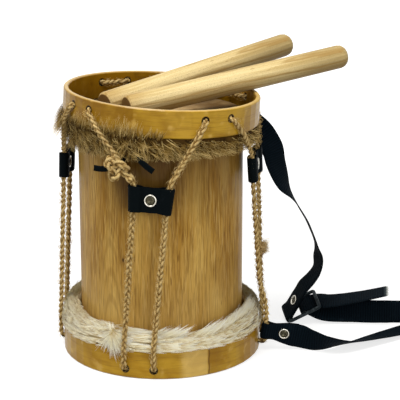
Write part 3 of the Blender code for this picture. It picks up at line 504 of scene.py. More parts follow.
# Painted shadow: deeper shade on the shell under the fur beside the rope's knot.
knot_area_shadow = angle.between(-0.58, -0.36) * (1.0 - angle.between(0.10, 0.50)) * z.between(-0.098, -0.056)
colour = graph.mix(knot_area_shadow * 0.72, colour, srgb(66, 40, 4))
dashes = graph.noise(graph.scaled(point, (1.0, 1.0, 0.16)), 260.0, 1.0).between(0.70, 0.78)
colour = graph.mix(dashes * 0.7, colour, srgb(88, 54, 14))
plank = (angle - math.radians(-31.0)) * SHELL_RADIUS
bent = graph.noise(graph.scaled(point, (1.0, 1.0, 0.2)), 60.0, 2.0, 0.5) * 0.006
arcs = ((z * 0.22 + plank * plank * 60.0 + bent) * 1000.0).sine()
flame = (1.0 - plank.absolute().between(0.006, 0.022)) * z.between(-0.215, -0.195) * (1.0 - z.between(-0.10, -0.05))
colour = graph.mix(arcs.between(0.0, 1.0) * flame * 0.30, colour, srgb(124, 86, 30))
knot_angle = math.radians(-21.0)
knot_height = 0.1165 - FACE_HEIGHT
aside = (angle - knot_angle) * SHELL_RADIUS
off = (aside * aside * 2.4 + (z - knot_height) ** 2.0).math("SQRT")
colour = graph.mix((1.0 - off.between(0.0015, 0.0090)) * 0.5, colour, srgb(110, 74, 28))
colour = graph.mix((1.0 - off.between(0.0008, 0.0030)) * 0.85, colour, srgb(62, 38, 14))
inside = 1.0 - radius.between(SHELL_RADIUS - 0.0062, SHELL_RADIUS - 0.0050)
colour = graph.mix(inside * 0.5, colour, srgb(196, 164, 106))
normal = graph.bump(narrow * 0.5 + pores, 0.18, 0.0005)
paint(["shell"], graph.surface(colour, narrow * 0.18 + 0.30, normal, Coat_Weight=0.08, Coat_Roughness=0.20,
                              Specular_IOR_Level=0.06))
print("knot at", round(math.degrees(knot_angle)), "degrees")

# %% Hidden hoops
graph = Graph("flesh_hoop_wood")
point, angle, radius, z = round_the_drum(graph, graph.object_point())
grain = streaks(graph, point, 160.0, (0.12, 1.0, 1.0))
colour = graph.mix(grain.between(0.35, 0.7), srgb(150, 116, 72), srgb(186, 152, 104))
paint(["top_flesh_hoop", "bottom_flesh_hoop"], graph.surface(colour, 0.7, graph.bump(grain, 0.1, 0.0005)))

# %% [markdown]
# ## Sticks
#
# The sticks are split and shaved from a pale wood: long fine streaks, a few dark flecks, and end
# grain on the flat butt. Grain coordinates are measured along each stick's own axis.

# %% Stick material
STICKS = {
    "stick_front": ((-0.0288, -0.0462, 0.2643), (0.1874, 0.0972, 0.2940)),
    "stick_back": ((-0.0527, -0.0334, 0.2643), (0.1261, 0.1570, 0.2957)),
}


def stick_wood(name, near, far):
    graph = Graph(name)
    start = Vector(near) - Vector((0.0, 0.0, FACE_HEIGHT))
    axis = (Vector(far) - Vector(near)).normalized()
    side = axis.cross(Vector((0.0, 0.0, 1.0))).normalized()
    up = side.cross(axis)
    local, parts = along_axes(graph, graph.object_point(), start, (axis, side, up))
    run = parts[0]
    reach = (Vector(far) - Vector(near)).length
    broad = streaks(graph, local, 150.0, (0.045, 1.0, 1.0))
    fine = streaks(graph, local, 900.0, (0.02, 1.0, 1.0), 2.0)
    colour = graph.mix(broad.between(0.34, 0.66), srgb(204, 176, 116), srgb(234, 212, 156))
    colour = graph.mix(fine.between(0.50, 0.76) * 0.36, colour, srgb(184, 148, 82))
    colour = graph.mix((1.0 - run.between(0.0, 0.030)) * 0.5, colour, srgb(176, 138, 74))
    # Painted shade: the stick is darkened towards its far end.
    colour = graph.mix(run.between(reach - 0.100, reach - 0.020) * 0.50, colour, srgb(150, 126, 78))
    fleck = graph.noise(graph.scaled(local, (0.35, 1.0, 1.0)), 210.0, 1.0).between(0.70, 0.78)
    colour = graph.mix(fleck * 0.5, colour, srgb(150, 108, 56))
    bent = graph.noise(graph.scaled(local, (0.12, 1.0, 1.0)), 90.0, 2.0, 0.5) * 9.0
    lines = ((parts[1] * 640.0 + parts[2] * 760.0 + run * 14.0) + bent).sine()
    colour = graph.mix(lines.between(0.60, 1.0) * 0.55, colour, srgb(160, 122, 60))
    specks = graph.noise(local, 1100.0, 1.0).between(0.50, 0.72)
    colour = graph.mix(specks * 0.34, colour, srgb(150, 116, 62))
    # Painted shade: the stick's underside is darkened.
    under = 1.0 - parts[2].between(-0.0085, 0.0035)
    colour = graph.mix(under * 0.62, colour, srgb(120, 92, 42))
    rings = ((parts[1] * parts[1] + (parts[2] + 0.004) ** 2.0).math("SQRT") * 5200.0).sine()
    butt = 1.0 - run.between(0.0001, 0.0006)
    end_colour = graph.mix(rings.between(-0.4, 0.9) * 0.6, srgb(128, 92, 46), srgb(84, 54, 22))
    colour = graph.mix(butt * 0.9, colour, end_colour)
    normal = graph.bump(fine + broad * 0.4, 0.14, 0.0005)
    return graph.surface(colour, broad * 0.15 + 0.42, normal)


for name, (near, far) in STICKS.items():
    paint([name], stick_wood(name + "_wood", near, far))
print("sticks painted:", ", ".join(STICKS))

# %% [markdown]
# ## The rope's way round the drum
#
# These are the formulas that place the rope in the solids: out of a hole, over the hoop's edge,
# through a tug and down to the lower hoop, where it turns in at one hole and out at the next.

# %% Rope route
class Tug:
    """A tug's middle and its axes: along down the rope pair, side across, out of the drum."""

    def __init__(self, azimuth, height, bottom_azimuth):
        self.azimuth = azimuth
        self.middle = around(TUG_MID_RADIUS, azimuth, height)
        spread = math.cos(math.radians(BOTTOM_HALF_SPREAD))
        self.foot = around(bottom_rope_radius() * spread, bottom_azimuth, BOTTOM_HOOP_HEIGHT)
        self.along = (self.foot - self.middle).normalized()
        tangent = around(1.0, azimuth + 90.0)
        self.side = (tangent - self.along * tangent.dot(self.along)).normalized()
        self.out = self.along.cross(self.side)
        if self.out.dot(self.middle) < 0:
            self.out = -self.out

    def point(self, side, down):
        share = 0.5 + down / TUG_HEIGHT
        spread = TUG_TOP_SPREAD + (TUG_BOTTOM_SPREAD - TUG_TOP_SPREAD) * share
        return self.middle + self.side * (side * spread) + self.along * down

    def matrix(self):
        axes = Matrix((self.side, self.out, -self.along)).transposed().to_4x4()
        return Matrix.Translation(self.middle) @ axes


def top_rope_radius():
    return TOP_HOOP_RADIUS + ROPE_RADIUS + ROPE_FACE_GAP


def bottom_rope_radius():
    return BOTTOM_HOOP_RADIUS + ROPE_RADIUS + ROPE_FACE_GAP


def strap_room():
    """How far a rope stands off where the webbing passes behind it."""
    return STRAP_THICKNESS + 2 * CLEARANCE


def hook_room():
    """How far the upper rope stands off where the strap is folded round it."""
    return strap_room() + STRAP_BOW


def foot_room():
    """How far the lower rope stands off for the strap, which crosses it at a slight slope."""
    return strap_room() + 2 * STRAP_FOOT_PLAY


def top_run(azimuth, tug, side, lift=0.0):
    """The rope from inside the top hoop, out of a hole and down to a tug's top edge."""
    hole = TOP_HOOP_LIFT + TOP_HOOP_HEIGHT - TOP_HOLE_DROP
    inside = TOP_HOOP_RADIUS - HOOP_WALL - ROPE_RADIUS - ROPE_FACE_GAP
    outside = top_rope_radius() + lift
    edge_height = TOP_HOOP_LIFT + 0.0010
    landing = tug.point(side, -TUG_HEIGHT / 2 - TUG_BEND_RISE)
    local = leaning.inverted() @ landing
    target = math.degrees(math.atan2(local.x, -local.y))
    target += 360.0 * round((azimuth - target) / 360.0)
    share = (hole - edge_height) / (hole - local.z)
    edge_azimuth = azimuth + (target - azimuth) * share
    return [
        (leaning @ around(inside, azimuth, hole), ROPE_BEND),
        (leaning @ around(outside, azimuth, hole), ROPE_BEND),
        (leaning @ around(outside, edge_azimuth, edge_height), ROPE_EDGE_BEND),
        (landing, ROPE_TUG_BEND),
        (tug.point(side, TUG_HEIGHT / 2), ROPE_FOOT_BEND),
    ]


def bottom_run(azimuth, lift=0.0):
    """The rope from the bottom hoop's upper edge down its face and in at a hole."""
    outside = bottom_rope_radius() + lift
    inside = BOTTOM_HOOP_RADIUS - HOOP_WALL - ROPE_RADIUS - ROPE_FACE_GAP
    return [
        (around(outside, azimuth, BOTTOM_HOOP_HEIGHT + 0.0020 + 4 * lift), ROPE_FOOT_BEND),
        (around(outside, azimuth, BOTTOM_HOLE_RISE), ROPE_BEND),
        (around(inside, azimuth, BOTTOM_HOLE_RISE), ROPE_BEND),
    ]


def rope_corners():
    """Every corner of the rope in order, from the knot round the drum and back to it."""
    tug_list = [tugs[name] for name in ("front", "right", "back", "left")]
    corners = []
    for index, tug in enumerate(tug_list):
        pair, spread = TOP_PAIRS[index]
        next_pair, next_spread = TOP_PAIRS[(index + 1) % len(TOP_PAIRS)]
        if index == len(tug_list) - 1:
            next_pair += 360.0
        left = top_run(pair + spread, tug, -1, hook_room() if tug is tugs["back"] else 0.0)
        right = top_run(next_pair - next_spread, tug, 1)
        foot = bottom_run(BOTTOM_PAIRS[index] - BOTTOM_HALF_SPREAD)
        corners += left
        if tug is tugs["right"]:
            bulge = foot[0][0].lerp(left[-1][0], STRAP_BULGE_AT)
            corners.append((bulge, ROPE_FOOT_BEND))
            foot = bottom_run(BOTTOM_PAIRS[index] - BOTTOM_HALF_SPREAD, foot_room())
        corners += foot
        corners += reversed(bottom_run(BOTTOM_PAIRS[index] + BOTTOM_HALF_SPREAD))
        corners += reversed(right)
    return corners


def bent(points, bends):
    """A polyline with every inner corner rounded to its own bend radius."""
    out = [points[0]]
    for before, corner, after, bend in zip(points, points[1:], points[2:], bends[1:]):
        back = (before - corner).normalized()
        ahead = (after - corner).normalized()
        half = back.angle(ahead) / 2
        reach = bend / math.tan(half)
        room = 0.48 * min((before - corner).length, (after - corner).length)
        if reach < 0.0002:
            out.append(corner)
            continue
        reach = min(reach, room)
        radius = reach * math.tan(half)
        centre = corner + (back + ahead).normalized() * (radius / math.sin(half))
        first = corner + back * reach - centre
        last = corner + ahead * reach - centre
        sweep = first.angle(last)
        count = max(1, round(math.degrees(sweep) / ROPE_TURN_STEP))
        for i in range(count + 1):
            share = i / count
            weight_a = math.sin((1 - share) * sweep) / math.sin(sweep)
            weight_b = math.sin(share * sweep) / math.sin(sweep)
            out.append(centre + first * weight_a + last * weight_b)
    out.append(points[-1])
    return out


ROPE_TURN_STEP = 14.0
STRAP_BOW = 0.0010
STRAP_FOOT_PLAY = 0.0014
STRAP_BULGE_AT = 0.30
tugs = {}
for place, (name, (azimuth, height)) in enumerate(TUGS.items()):
    tugs[name] = Tug(azimuth, height, BOTTOM_PAIRS[place])

corners = rope_corners()
knot_from, _bend = corners[2]
knot_to, _bend = corners[3]
knot_middle = knot_from.lerp(knot_to, KNOT_AT)
knot_along = (knot_to - knot_from).normalized()
stub = KNOT_LENGTH / 2 - 0.0020
route = [(knot_middle + knot_along * stub, 0.0)] + corners[3:] + corners[:3]
route.append((knot_middle - knot_along * stub, 0.0))
rope_line = bent([p for p, _b in route], [b for _p, b in route])
print("rope:", len(rope_line), "points")

# %% [markdown]
# ## Laying a rope
#
# Three strands wind round the line. Each strand is a tube on a helix; `turn` keeps its twist even
# by measuring along the rope. Two attributes go to the material: how far along, and where round.

# %% Rope maker
def resampled(points, step, cyclic=False):
    """Points at even steps along a polyline."""
    track = np.array([tuple(p) for p in points])
    if cyclic:
        track = np.vstack([track, track[:1]])
    lengths = np.r_[0.0, np.cumsum(np.linalg.norm(np.diff(track, axis=0), axis=1))]
    count = max(2, int(round(lengths[-1] / step)) + 1)
    at = np.linspace(0.0, lengths[-1], count)
    return np.stack([np.interp(at, lengths, track[:, i]) for i in range(3)], axis=1), at


def smoothed(points, times):
    points = points.copy()
    for _ in range(times):
        points[1:-1] = 0.5 * points[1:-1] + 0.25 * (points[:-2] + points[2:])
    return points


def carried_frames(points):
    """A tangent and two square directions at each point, with no sudden twist."""
    tangents = np.gradient(points, axis=0)
    tangents /= np.linalg.norm(tangents, axis=1)[:, None]
    first = np.zeros_like(points)
    guess = np.array([0.31, 0.22, 0.92])
    for i, tangent in enumerate(tangents):
        guess = guess - tangent * guess.dot(tangent)
        guess /= np.linalg.norm(guess)
        first[i] = guess
    second = np.cross(tangents, first)
    return tangents, first, second


def plaited_rope(points, radius, period, strands=3, sides=8, step=0.0013, wobble=0.24, seed=1.0):
    """A plait of jute strands: vertices, faces, and the attributes run, round and high."""
    line, run = resampled(points, step)
    line = smoothed(line, 2)
    _tangents, first, second = carried_frames(line)
    drift = np.array([ripple((r, 0.0, 0.0), 45.0, seed + 9.0) for r in run]) * 1.4
    vertices, faces, runs, rounds, highs = [], [], [], [], []
    for strand in range(strands):
        phase = 2 * math.pi * (strand / strands + run / period) + drift
        uneven = np.array([1.0 + wobble * ripple((r, 0.0, 0.0), 210.0, seed + strand) for r in run])
        across = radius * 0.58 * np.sin(phase) * uneven
        over = radius * 0.40 * np.sin(2 * phase) * uneven
        centre = line + first * across[:, None] + second * over[:, None]
        _t, one, two = carried_frames(centre)
        start = len(vertices)
        for i in range(len(run)):
            for k in range(sides):
                angle = 2 * math.pi * k / sides
                lump = 1.0 + 0.22 * ripple((run[i], k * 0.0008, 0.0), 900.0, seed + 3 * strand)
                offset = (one[i] * math.cos(angle) + two[i] * math.sin(angle)) * (radius * 0.50 * lump * uneven[i])
                vertices.append(centre[i] + offset)
                highs.append(float(np.linalg.norm(vertices[-1] - line[i])) / radius)
                runs.append(run[i])
                rounds.append(k / sides)
        faces += grid_faces(len(run), sides, closed_columns=True, first=start)
        faces.append(tuple(start + k for k in reversed(range(sides))))
        last = start + (len(run) - 1) * sides
        faces.append(tuple(last + k for k in range(sides)))
    return vertices, faces, {"run": runs, "round": rounds, "high": highs}


def ribbons(roots, tips, bends, widths, facing, segments=5, curl=0.0, curl_turns=1.5, seed=3,
            tints=None):
    """Hairs as tapering ribbons on curves from root to tip: vertices, faces, tip share and tint."""
    local = np.random.default_rng(seed)
    count = len(roots)
    t = np.linspace(0.0, 1.0, segments + 1)[None, :, None]
    roots, tips, bends = (np.asarray(a, dtype=float)[:, None, :] for a in (roots, tips, bends))
    line = roots * (1 - t) ** 2 + bends * 2 * t * (1 - t) + tips * t ** 2
    along = np.gradient(line, axis=1)
    along /= np.linalg.norm(along, axis=2)[:, :, None] + 1e-12
    facing = np.broadcast_to(np.asarray(facing, dtype=float), (count, 3))[:, None, :]
    side = np.cross(along, np.broadcast_to(facing, line.shape))
    side /= np.linalg.norm(side, axis=2)[:, :, None] + 1e-12
    phase = local.uniform(0, 2 * math.pi, (count, 1, 1))
    turns = curl_turns * local.uniform(0.6, 1.4, (count, 1, 1))
    size = np.asarray(curl, dtype=float).reshape(-1, 1, 1)
    swing = (np.cos(phase + turns * 2 * math.pi * t) - np.cos(phase)) * size * np.sqrt(t)
    lift = (np.sin(phase + turns * 2 * math.pi * t) - np.sin(phase)) * size * np.sqrt(t)
    line = line + side * swing + np.broadcast_to(facing, line.shape) * lift * 0.6
    widths = np.asarray(widths, dtype=float).reshape(-1, 1, 1)
    half = widths * 0.5 * (1.0 - 0.9 * t ** 1.6)
    points = np.stack([line - side * half, line + side * half], axis=2)
    vertices = points.reshape(-1, 3)
    rows = segments + 1
    faces = []
    for hair in range(count):
        first = hair * rows * 2
        faces += [(first + 2 * i, first + 2 * i + 1, first + 2 * i + 3, first + 2 * i + 2) for i in range(segments)]
    tint = np.repeat(local.uniform(0, 1, count) if tints is None else tints, rows * 2)
    share = np.tile(np.repeat(np.linspace(0.0, 1.0, rows), 2), count)
    return vertices, faces, {"tip": share, "tint": tint}


def hair_locks(local, starts, ends, facing, per_lock, spread, width, bulge, tints, loose=0.3, curl=0.0, turns=0.8):
    """Hairs gathered into locks that narrow to a point, from each lock's start and end."""
    index = np.repeat(np.arange(len(starts)), per_lock)
    count = len(index)
    offset = local.normal(0.0, 1.0, (count, 3)) * spread
    roots = starts[index] + offset
    tips = starts[index] + (ends - starts)[index] * local.uniform(0.5, 1.0, count)[:, None] + offset * loose
    reach = np.linalg.norm(tips - roots, axis=1)[:, None]
    bends = (roots + tips) / 2 + facing[index] * reach * bulge
    shade = np.clip(tints[index] + local.normal(0.0, 0.20, count), 0.0, 1.0)
    return ribbons(roots, tips, bends, local.uniform(*width, count), facing[index], curl=local.uniform(0.0, curl, count),
                   curl_turns=turns, seed=int(local.integers(1, 9999)), tints=shade)


def fibre_material(name, root, middle, tip, roughness=0.75, variety=0.5, dark=None, left=None):
    """Hair coloured from root to tip, each hair with its own shade, and on the drum's left a mix towards another
    colour, which for the lower fur is a paler one: painted light.
    """
    graph = Graph(name)
    share = graph.attribute("tip")
    tint = graph.attribute("tint")
    colour = graph.mix(share.between(0.0, 0.45), srgb(*root), srgb(*middle))
    colour = graph.mix(share.between(0.45, 1.0), colour, srgb(*tip))
    darker = tuple(c * 0.62 for c in root)
    colour = graph.mix((1.0 - tint.between(0.0, 0.40)) * variety, colour, srgb(*(dark or darker)))
    colour = graph.mix(tint.between(0.72, 1.0) * variety, colour, srgb(*tip))
    # Painted light: on the drum's left the hair is mixed towards the colour `left`, which makes the lower fur paler
    # where less light reaches it.
    if left is not None:
        x = graph.node("ShaderNodeSeparateXYZ", None, {0: graph.object_point()})
        colour = graph.mix((1.0 - x.between(-0.085, -0.040)) * 0.34, colour, srgb(*left))
    return graph.surface(colour, roughness, None, Specular_IOR_Level=0.08)


# %% Jute
def jute(name, dark, light):
    graph = Graph(name)
    run = graph.attribute("run")
    spin = graph.attribute("round")
    yarn = ((run * 4200.0) + (spin * 2 * math.pi * 2)).sine()
    point = graph.object_point()
    patches = graph.noise(point, 260.0, 3.0, 0.6)
    fine = graph.noise(point, 1100.0, 2.0, 0.6)
    colour = graph.mix(patches.between(0.34, 0.66), srgb(*dark), srgb(*light))
    high = graph.attribute("high")
    colour = graph.mix(yarn.between(-1.0, 0.3) * -0.40 + 0.40, colour, srgb(112, 80, 36))
    colour = graph.mix(fine.between(0.50, 0.78) * 0.40, colour, srgb(222, 194, 134))
    # Painted highlight on the strands' outer crests, painted shade in the crevices between strands.
    colour = graph.mix(high.between(0.78, 1.04) * 0.50, colour, srgb(228, 202, 142))
    colour = graph.mix((1.0 - high.between(0.45, 0.84)) * 0.58, colour, srgb(92, 64, 26))
    # Painted shade: the rope is darkened below the middle of the bottom holes, where it goes in.
    z = graph.node("ShaderNodeSeparateXYZ", None, {0: point}, output=2)
    hole = BOTTOM_HOLE_RISE - FACE_HEIGHT
    colour = graph.mix((1.0 - z.between(hole - 0.0006, hole + 0.0016)) * 0.86, colour, srgb(30, 18, 6))
    normal = graph.bump(yarn * 0.5 + fine, 0.7, 0.0004)
    return graph.surface(colour, 0.85, normal, Specular_IOR_Level=0.08)


JUTE = jute("jute", (148, 114, 58), (198, 166, 104))
vertices, faces, layers = plaited_rope(rope_line, ROPE_RADIUS * 0.98, 0.0200, wobble=0.15)
rope = piece("rope", vertices, faces, JUTE, "drum", ["tension_rope"], layers)
print("rope mesh:", len(vertices), "points")

# %% Holes
def hole_discs():
    """A dark disc in each hole round the rope: painted shade, a dark sheet where the hole lies in shade."""
    spots = [(leaning @ around(TOP_HOOP_RADIUS - 0.0024, a, top_holes[1]), leaning.to_3x3(), a) for a in top_holes[0]]
    rise = BOTTOM_HOLE_RISE
    spots += [(around(BOTTOM_HOOP_RADIUS - 0.0024, a, rise), Matrix.Identity(3), a) for a in bottom_holes[0]]
    vertices, faces = [], []
    for centre, turned, azimuth in spots:
        aside, rise = turned @ around(1.0, azimuth + 90.0), turned @ Vector((0.0, 0.0, 1.0))
        first = len(vertices)
        for k in range(16):
            a = 2 * math.pi * k / 16
            vertices.append(centre + (aside * math.cos(a) + rise * math.sin(a)) * (HOLE_RADIUS + 0.0002))
        faces.append(tuple(first + k for k in range(16)))
    return vertices, faces


# Painted shade: a near-black sheet fills each hole round the rope.
graph = Graph("hole_shadow_disc")
speck = graph.noise(graph.object_point(), 1500.0, 2.0)
colour = graph.mix(speck.between(0.4, 0.7), srgb(20, 12, 4), srgb(46, 30, 12))
vertices, faces = hole_discs()
piece("hole_shadow_disc", vertices, faces, graph.surface(colour, 0.9, None, Specular_IOR_Level=0.02), "drum")
print("holes filled:", len(faces))

# %% Rope fuzz
def fuzz_roots(line, count, radius, seed):
    local = np.random.default_rng(seed)
    track, _run = resampled(line, 0.002)
    tangents, first, second = carried_frames(track)
    at = local.integers(2, len(track) - 2, count)
    angle = local.uniform(0, 2 * math.pi, count)
    out = first[at] * np.cos(angle)[:, None] + second[at] * np.sin(angle)[:, None]
    way = np.where(local.uniform(size=count) < 0.5, 1.0, -1.0)[:, None]
    return track[at] + out * radius * 0.9, out, tangents[at] * way


roots, out, flow = fuzz_roots(rope_line, 8000, ROPE_RADIUS, 11)
length = rng.uniform(0.0015, 0.0060, len(roots))[:, None]
tips = roots + (out * 0.45 + flow * 0.9) * length
bends = roots + (out * 0.40 + flow * 0.2) * length
vertices, faces, layers = ribbons(roots, tips, bends, np.full(len(roots), 0.00030), np.cross(out, flow) + out * 0.5,
                                  segments=3, curl=0.0006, seed=12)
FUZZ = fibre_material("jute_fibre", (166, 130, 70), (200, 166, 104), (228, 204, 148))
fuzz = piece("rope_fuzz", vertices, faces, FUZZ, "drum", attributes=layers)
print("fuzz:", len(roots), "fibres")

# %% [markdown]
# ## The knot
#
# The rope's two ends meet in a bulky knot. A trefoil line, pulled flat against the drum, gives three
# rounded bights that pass over and under each other, and two short ends stand out of it.

# %% Knot
knot_out = Vector((knot_middle.x, knot_middle.y, 0.0)).normalized()
knot_side = knot_along.cross(knot_out).normalized()
knot_out = knot_side.cross(knot_along).normalized()


knot_right = Vector((0.0, 0.0, 1.0)).cross(knot_out).normalized()
knot_centre = knot_middle - knot_right * 0.0080


def knot_point(angle, size):
    across = (math.sin(angle) + 2 * math.sin(2 * angle)) / 3.0
    down = (math.cos(angle) - 2 * math.cos(2 * angle)) / 3.0
    over = -math.sin(3 * angle)
    return (knot_centre + knot_side * (across * size * 0.92) + knot_along * (down * size)
            + knot_out * (over * 0.0034 + 0.0024))


trefoil = [knot_point(2 * math.pi * i / 90 + 0.5, 0.0116) for i in range(91)]
vertices, faces, layers = plaited_rope(trefoil, ROPE_RADIUS * 1.22, 0.0300, seed=5.0, wobble=0.14)
made = [(vertices, faces, layers)]
for way, turn, long in ((1.0, 0.4, 0.0150), (-1.0, -0.3, 0.0080)):
    start = knot_centre + knot_along * (way * 0.0030) + knot_right * 0.0030 + knot_out * 0.0025
    lean = (knot_along * way * 0.9 + knot_right * turn + knot_out * 0.15).normalized()
    end = [start + lean * (long * i / 8) + knot_out * (0.0008 * math.sin(i)) for i in range(9)]
    made.append(plaited_rope(end, ROPE_RADIUS * 1.05, 0.0240, seed=7.0 + way))


def joined(parts):
    """Several meshes' lists as one."""
    vertices, faces, layers = [], [], {}
    for more, polygons, values in parts:
        shift = len(vertices)
        vertices += [tuple(p) for p in more]
        faces += [tuple(i + shift for i in face) for face in polygons]
        for key, numbers in values.items():
            layers.setdefault(key, []).extend(numbers)
    return vertices, faces, layers


vertices, faces, layers = joined(made)
knot = piece("knot", vertices, faces, JUTE, "drum", ["rope_knot"], layers)
print("knot:", len(vertices), "points")

# %% [markdown]
# ## The lace
#
# A flat black lace runs behind the knot. Its left end is short and blunt and points left; its right
# end stands off down to the right.

# %% Lace
def strip(points, wide, width, thickness, crown=0.0, columns=5):
    """A flat strip with a rounded section along points, its width lying along `wide`."""
    line, run = resampled(points, 0.0012)
    line = smoothed(line, 6)
    tangents = np.gradient(line, axis=0)
    tangents /= np.linalg.norm(tangents, axis=1)[:, None]
    wide = np.asarray(wide, dtype=float)
    wide = wide if wide.ndim == 2 else np.repeat(wide[None, :], len(line), axis=0)
    wide = wide - tangents * np.sum(wide * tangents, axis=1)[:, None]
    wide /= np.linalg.norm(wide, axis=1)[:, None]
    normal = np.cross(wide, tangents)
    section = []
    for k in range(columns):
        x = -1.0 + 2.0 * k / (columns - 1)
        section.append((x, 0.5 + crown * (1 - x * x)))
    for k in reversed(range(columns)):
        x = -1.0 + 2.0 * k / (columns - 1)
        section.append((x, -0.5))
    vertices = []
    for i in range(len(line)):
        for x, y in section:
            vertices.append(line[i] + wide[i] * (x * width / 2) + normal[i] * (y * thickness))
    sides = len(section)
    faces = grid_faces(len(line), sides, closed_columns=True)
    faces.append(tuple(reversed(range(sides))))
    faces.append(tuple((len(line) - 1) * sides + k for k in range(sides)))
    layers = {"run": np.repeat(run, sides), "round": np.tile([s[0] for s in section], len(line))}
    return vertices, faces, layers


def black_leather(name, colour=(4, 9, 11), grain=900.0, strength=0.35, roughness=0.62):
    graph = Graph(name)
    point = graph.object_point()
    cells = graph.node("ShaderNodeTexVoronoi", {"feature": "DISTANCE_TO_EDGE"}, {"Vector": point, "Scale": grain})
    worn = graph.noise(point, 160.0, 3.0, 0.6)
    base = graph.mix(worn.between(0.50, 0.80) * 0.5, srgb(*colour), srgb(14, 20, 23))
    normal = graph.bump(cells.between(0.0, 0.25) + worn * 0.4, strength, 0.0003)
    return graph.surface(base, worn * 0.2 + (roughness - 0.1), normal, Specular_IOR_Level=0.03)


LEATHER = black_leather("black_leather")
lace_up = Vector((0.0, 0.0, 1.0))
lace_aside = lace_up.cross(knot_out).normalized()
lace_points = []
for sideways, rise, off in ((-0.0305, -0.0010, 0.0040), (-0.0240, -0.0020, 0.0030), (-0.0165, -0.0015, 0.0005),
                            (-0.0090, 0.0020, -0.0050), (-0.0010, 0.0085, -0.0060), (0.0070, 0.0130, -0.0040),
                            (0.0140, 0.0105, 0.0005), (0.0225, 0.0045, 0.0022), (0.0300, -0.0005, 0.0018)):
    lace_points.append(knot_middle + lace_aside * sideways + lace_up * rise + knot_out * off)
vertices, faces, layers = strip(lace_points, tuple(lace_up), 0.0056, 0.0014, 0.2)
lace = piece("lace", vertices, faces, LEATHER, "drum", ["skin_lace"], layers)
print("lace:", len(vertices), "points")

# %% [markdown]
# ## Tugs and rivets
#
# A tug is one piece of leather folded round two ropes and riveted in the middle. Its section is the
# same pinched loop as in the solid, with soft waves along the cut edges. Every tug rides on its own
# body, because it slides.

# %% Tugs
def tug_section(spread, around_rope, pinch, count=26):
    """Half of the leather's middle line: across, and out from the drum's side."""
    inner_end = TUG_BOTTOM_SPREAD - 1.7 * ROPE_RADIUS
    flat = 0.0066
    face = []
    for i in range(count + 1):
        x = spread * math.sin(math.pi / 2 * i / count)
        blend = min(1.0, max(0.0, (x - flat) / (inner_end - flat)))
        blend = blend * blend * (3 - 2 * blend)
        face.append((x, pinch + (around_rope - pinch) * blend))
    for i in range(1, 8):
        angle = math.radians(90.0 - 22.5 * i)
        face.append((spread + around_rope * math.cos(angle), around_rope * math.sin(angle)))
    return face


def tug_loop(spread, shrink):
    around_rope = ROPE_RADIUS + TUG_ROPE_PLAY + TUG_WALL - shrink
    pinch = TUG_PINCH_GAP / 2 + TUG_WALL - shrink
    front = tug_section(spread, around_rope, pinch)
    back = [(x, -y) for x, y in reversed(front[:-7])]
    right = front + back
    return right + [(-x, -y) for x, y in right[1:-1]]


def tug_mesh(name, seed):
    tug = tugs[name]
    place = tug.matrix()
    shares = (0.0, 0.0, 0.02, 0.05, 0.16, 0.30, 0.45, 0.60, 0.75, 0.88, 0.95, 0.98, 1.0, 1.0)
    insets = (0.35, 0.10, 0.02, 0.0, 0.0, 0.0, 0.0, 0.0, 0.0, 0.0, 0.0, 0.02, 0.10, 0.35)
    rings = []
    for share, inset in zip(shares, insets):
        spread = TUG_TOP_SPREAD + (TUG_BOTTOM_SPREAD - TUG_TOP_SPREAD) * share
        rings.append([(x, y, share) for x, y in tug_loop(spread, inset * TUG_WALL)])
    inner = []
    for share, inset in reversed(list(zip(shares, insets))):
        spread = TUG_TOP_SPREAD + (TUG_BOTTOM_SPREAD - TUG_TOP_SPREAD) * share
        inner.append([(x, y, share) for x, y in tug_loop(spread, TUG_WALL * (0.97 - inset))])
    rings += inner
    vertices = []
    for ring in rings:
        for x, y, share in ring:
            end = (abs(2 * share - 1)) ** 6
            wave = ripple((x, 0.0, 0.02 * seed), 85.0, seed) * 0.0011 * end
            dish = 0.0009 * (1 - min(1.0, abs(x) / 0.018) ** 2) * (1.0 if share < 0.5 else -0.4) * end
            z = TUG_HEIGHT * (0.5 - share) + wave - dish
            belly = 1.0 + 0.03 * ripple((x, y, z), 120.0, seed + 3)
            vertices.append(place @ Vector((x * (1 + 0.006 * ripple((z, x, 0), 90.0, seed)), y * belly, z)))
    faces = grid_faces(len(rings), len(rings[0]), closed_rows=True, closed_columns=True)
    return vertices, faces


for seed, name in enumerate(TUGS):
    vertices, faces = tug_mesh(name, seed * 2.3 + 1.0)
    piece("leather_tug_" + name, vertices, faces, LEATHER, "tug_" + name, ["tug_" + name])
print("tugs:", ", ".join(TUGS))

# %% Rivets
graph = Graph("rivet_nickel")
point = graph.object_point()
scratch = graph.noise(point, 2600.0, 2.0, 0.6)
tarnish = graph.noise(point, 500.0, 2.0, 0.6)
colour = graph.mix(tarnish.between(0.45, 0.75) * 0.5, srgb(206, 202, 190), srgb(140, 132, 112))
NICKEL = graph.surface(colour, scratch * 0.2 + 0.16, graph.bump(scratch, 0.12, 0.0001), Metallic=1.0)
graph = Graph("rivet_middle")
tarnish = graph.noise(graph.object_point(), 700.0, 2.0, 0.6)
colour = graph.mix(tarnish.between(0.40, 0.70), srgb(78, 74, 58), srgb(26, 25, 21))
MIDDLE = graph.surface(colour, 0.34, None, Metallic=0.9)


def spun(profile, place, steps=40):
    """A profile of (radius, height) turned about the third axis of a place."""
    vertices = []
    for radius, height in profile:
        for k in range(steps):
            angle = 2 * math.pi * k / steps
            vertices.append(place @ Vector((radius * math.cos(angle), radius * math.sin(angle), height)))
    faces = grid_faces(len(profile), steps, closed_columns=True)
    faces.append(tuple(reversed(range(steps))))
    faces.append(tuple((len(profile) - 1) * steps + k for k in range(steps)))
    return vertices, faces, {}


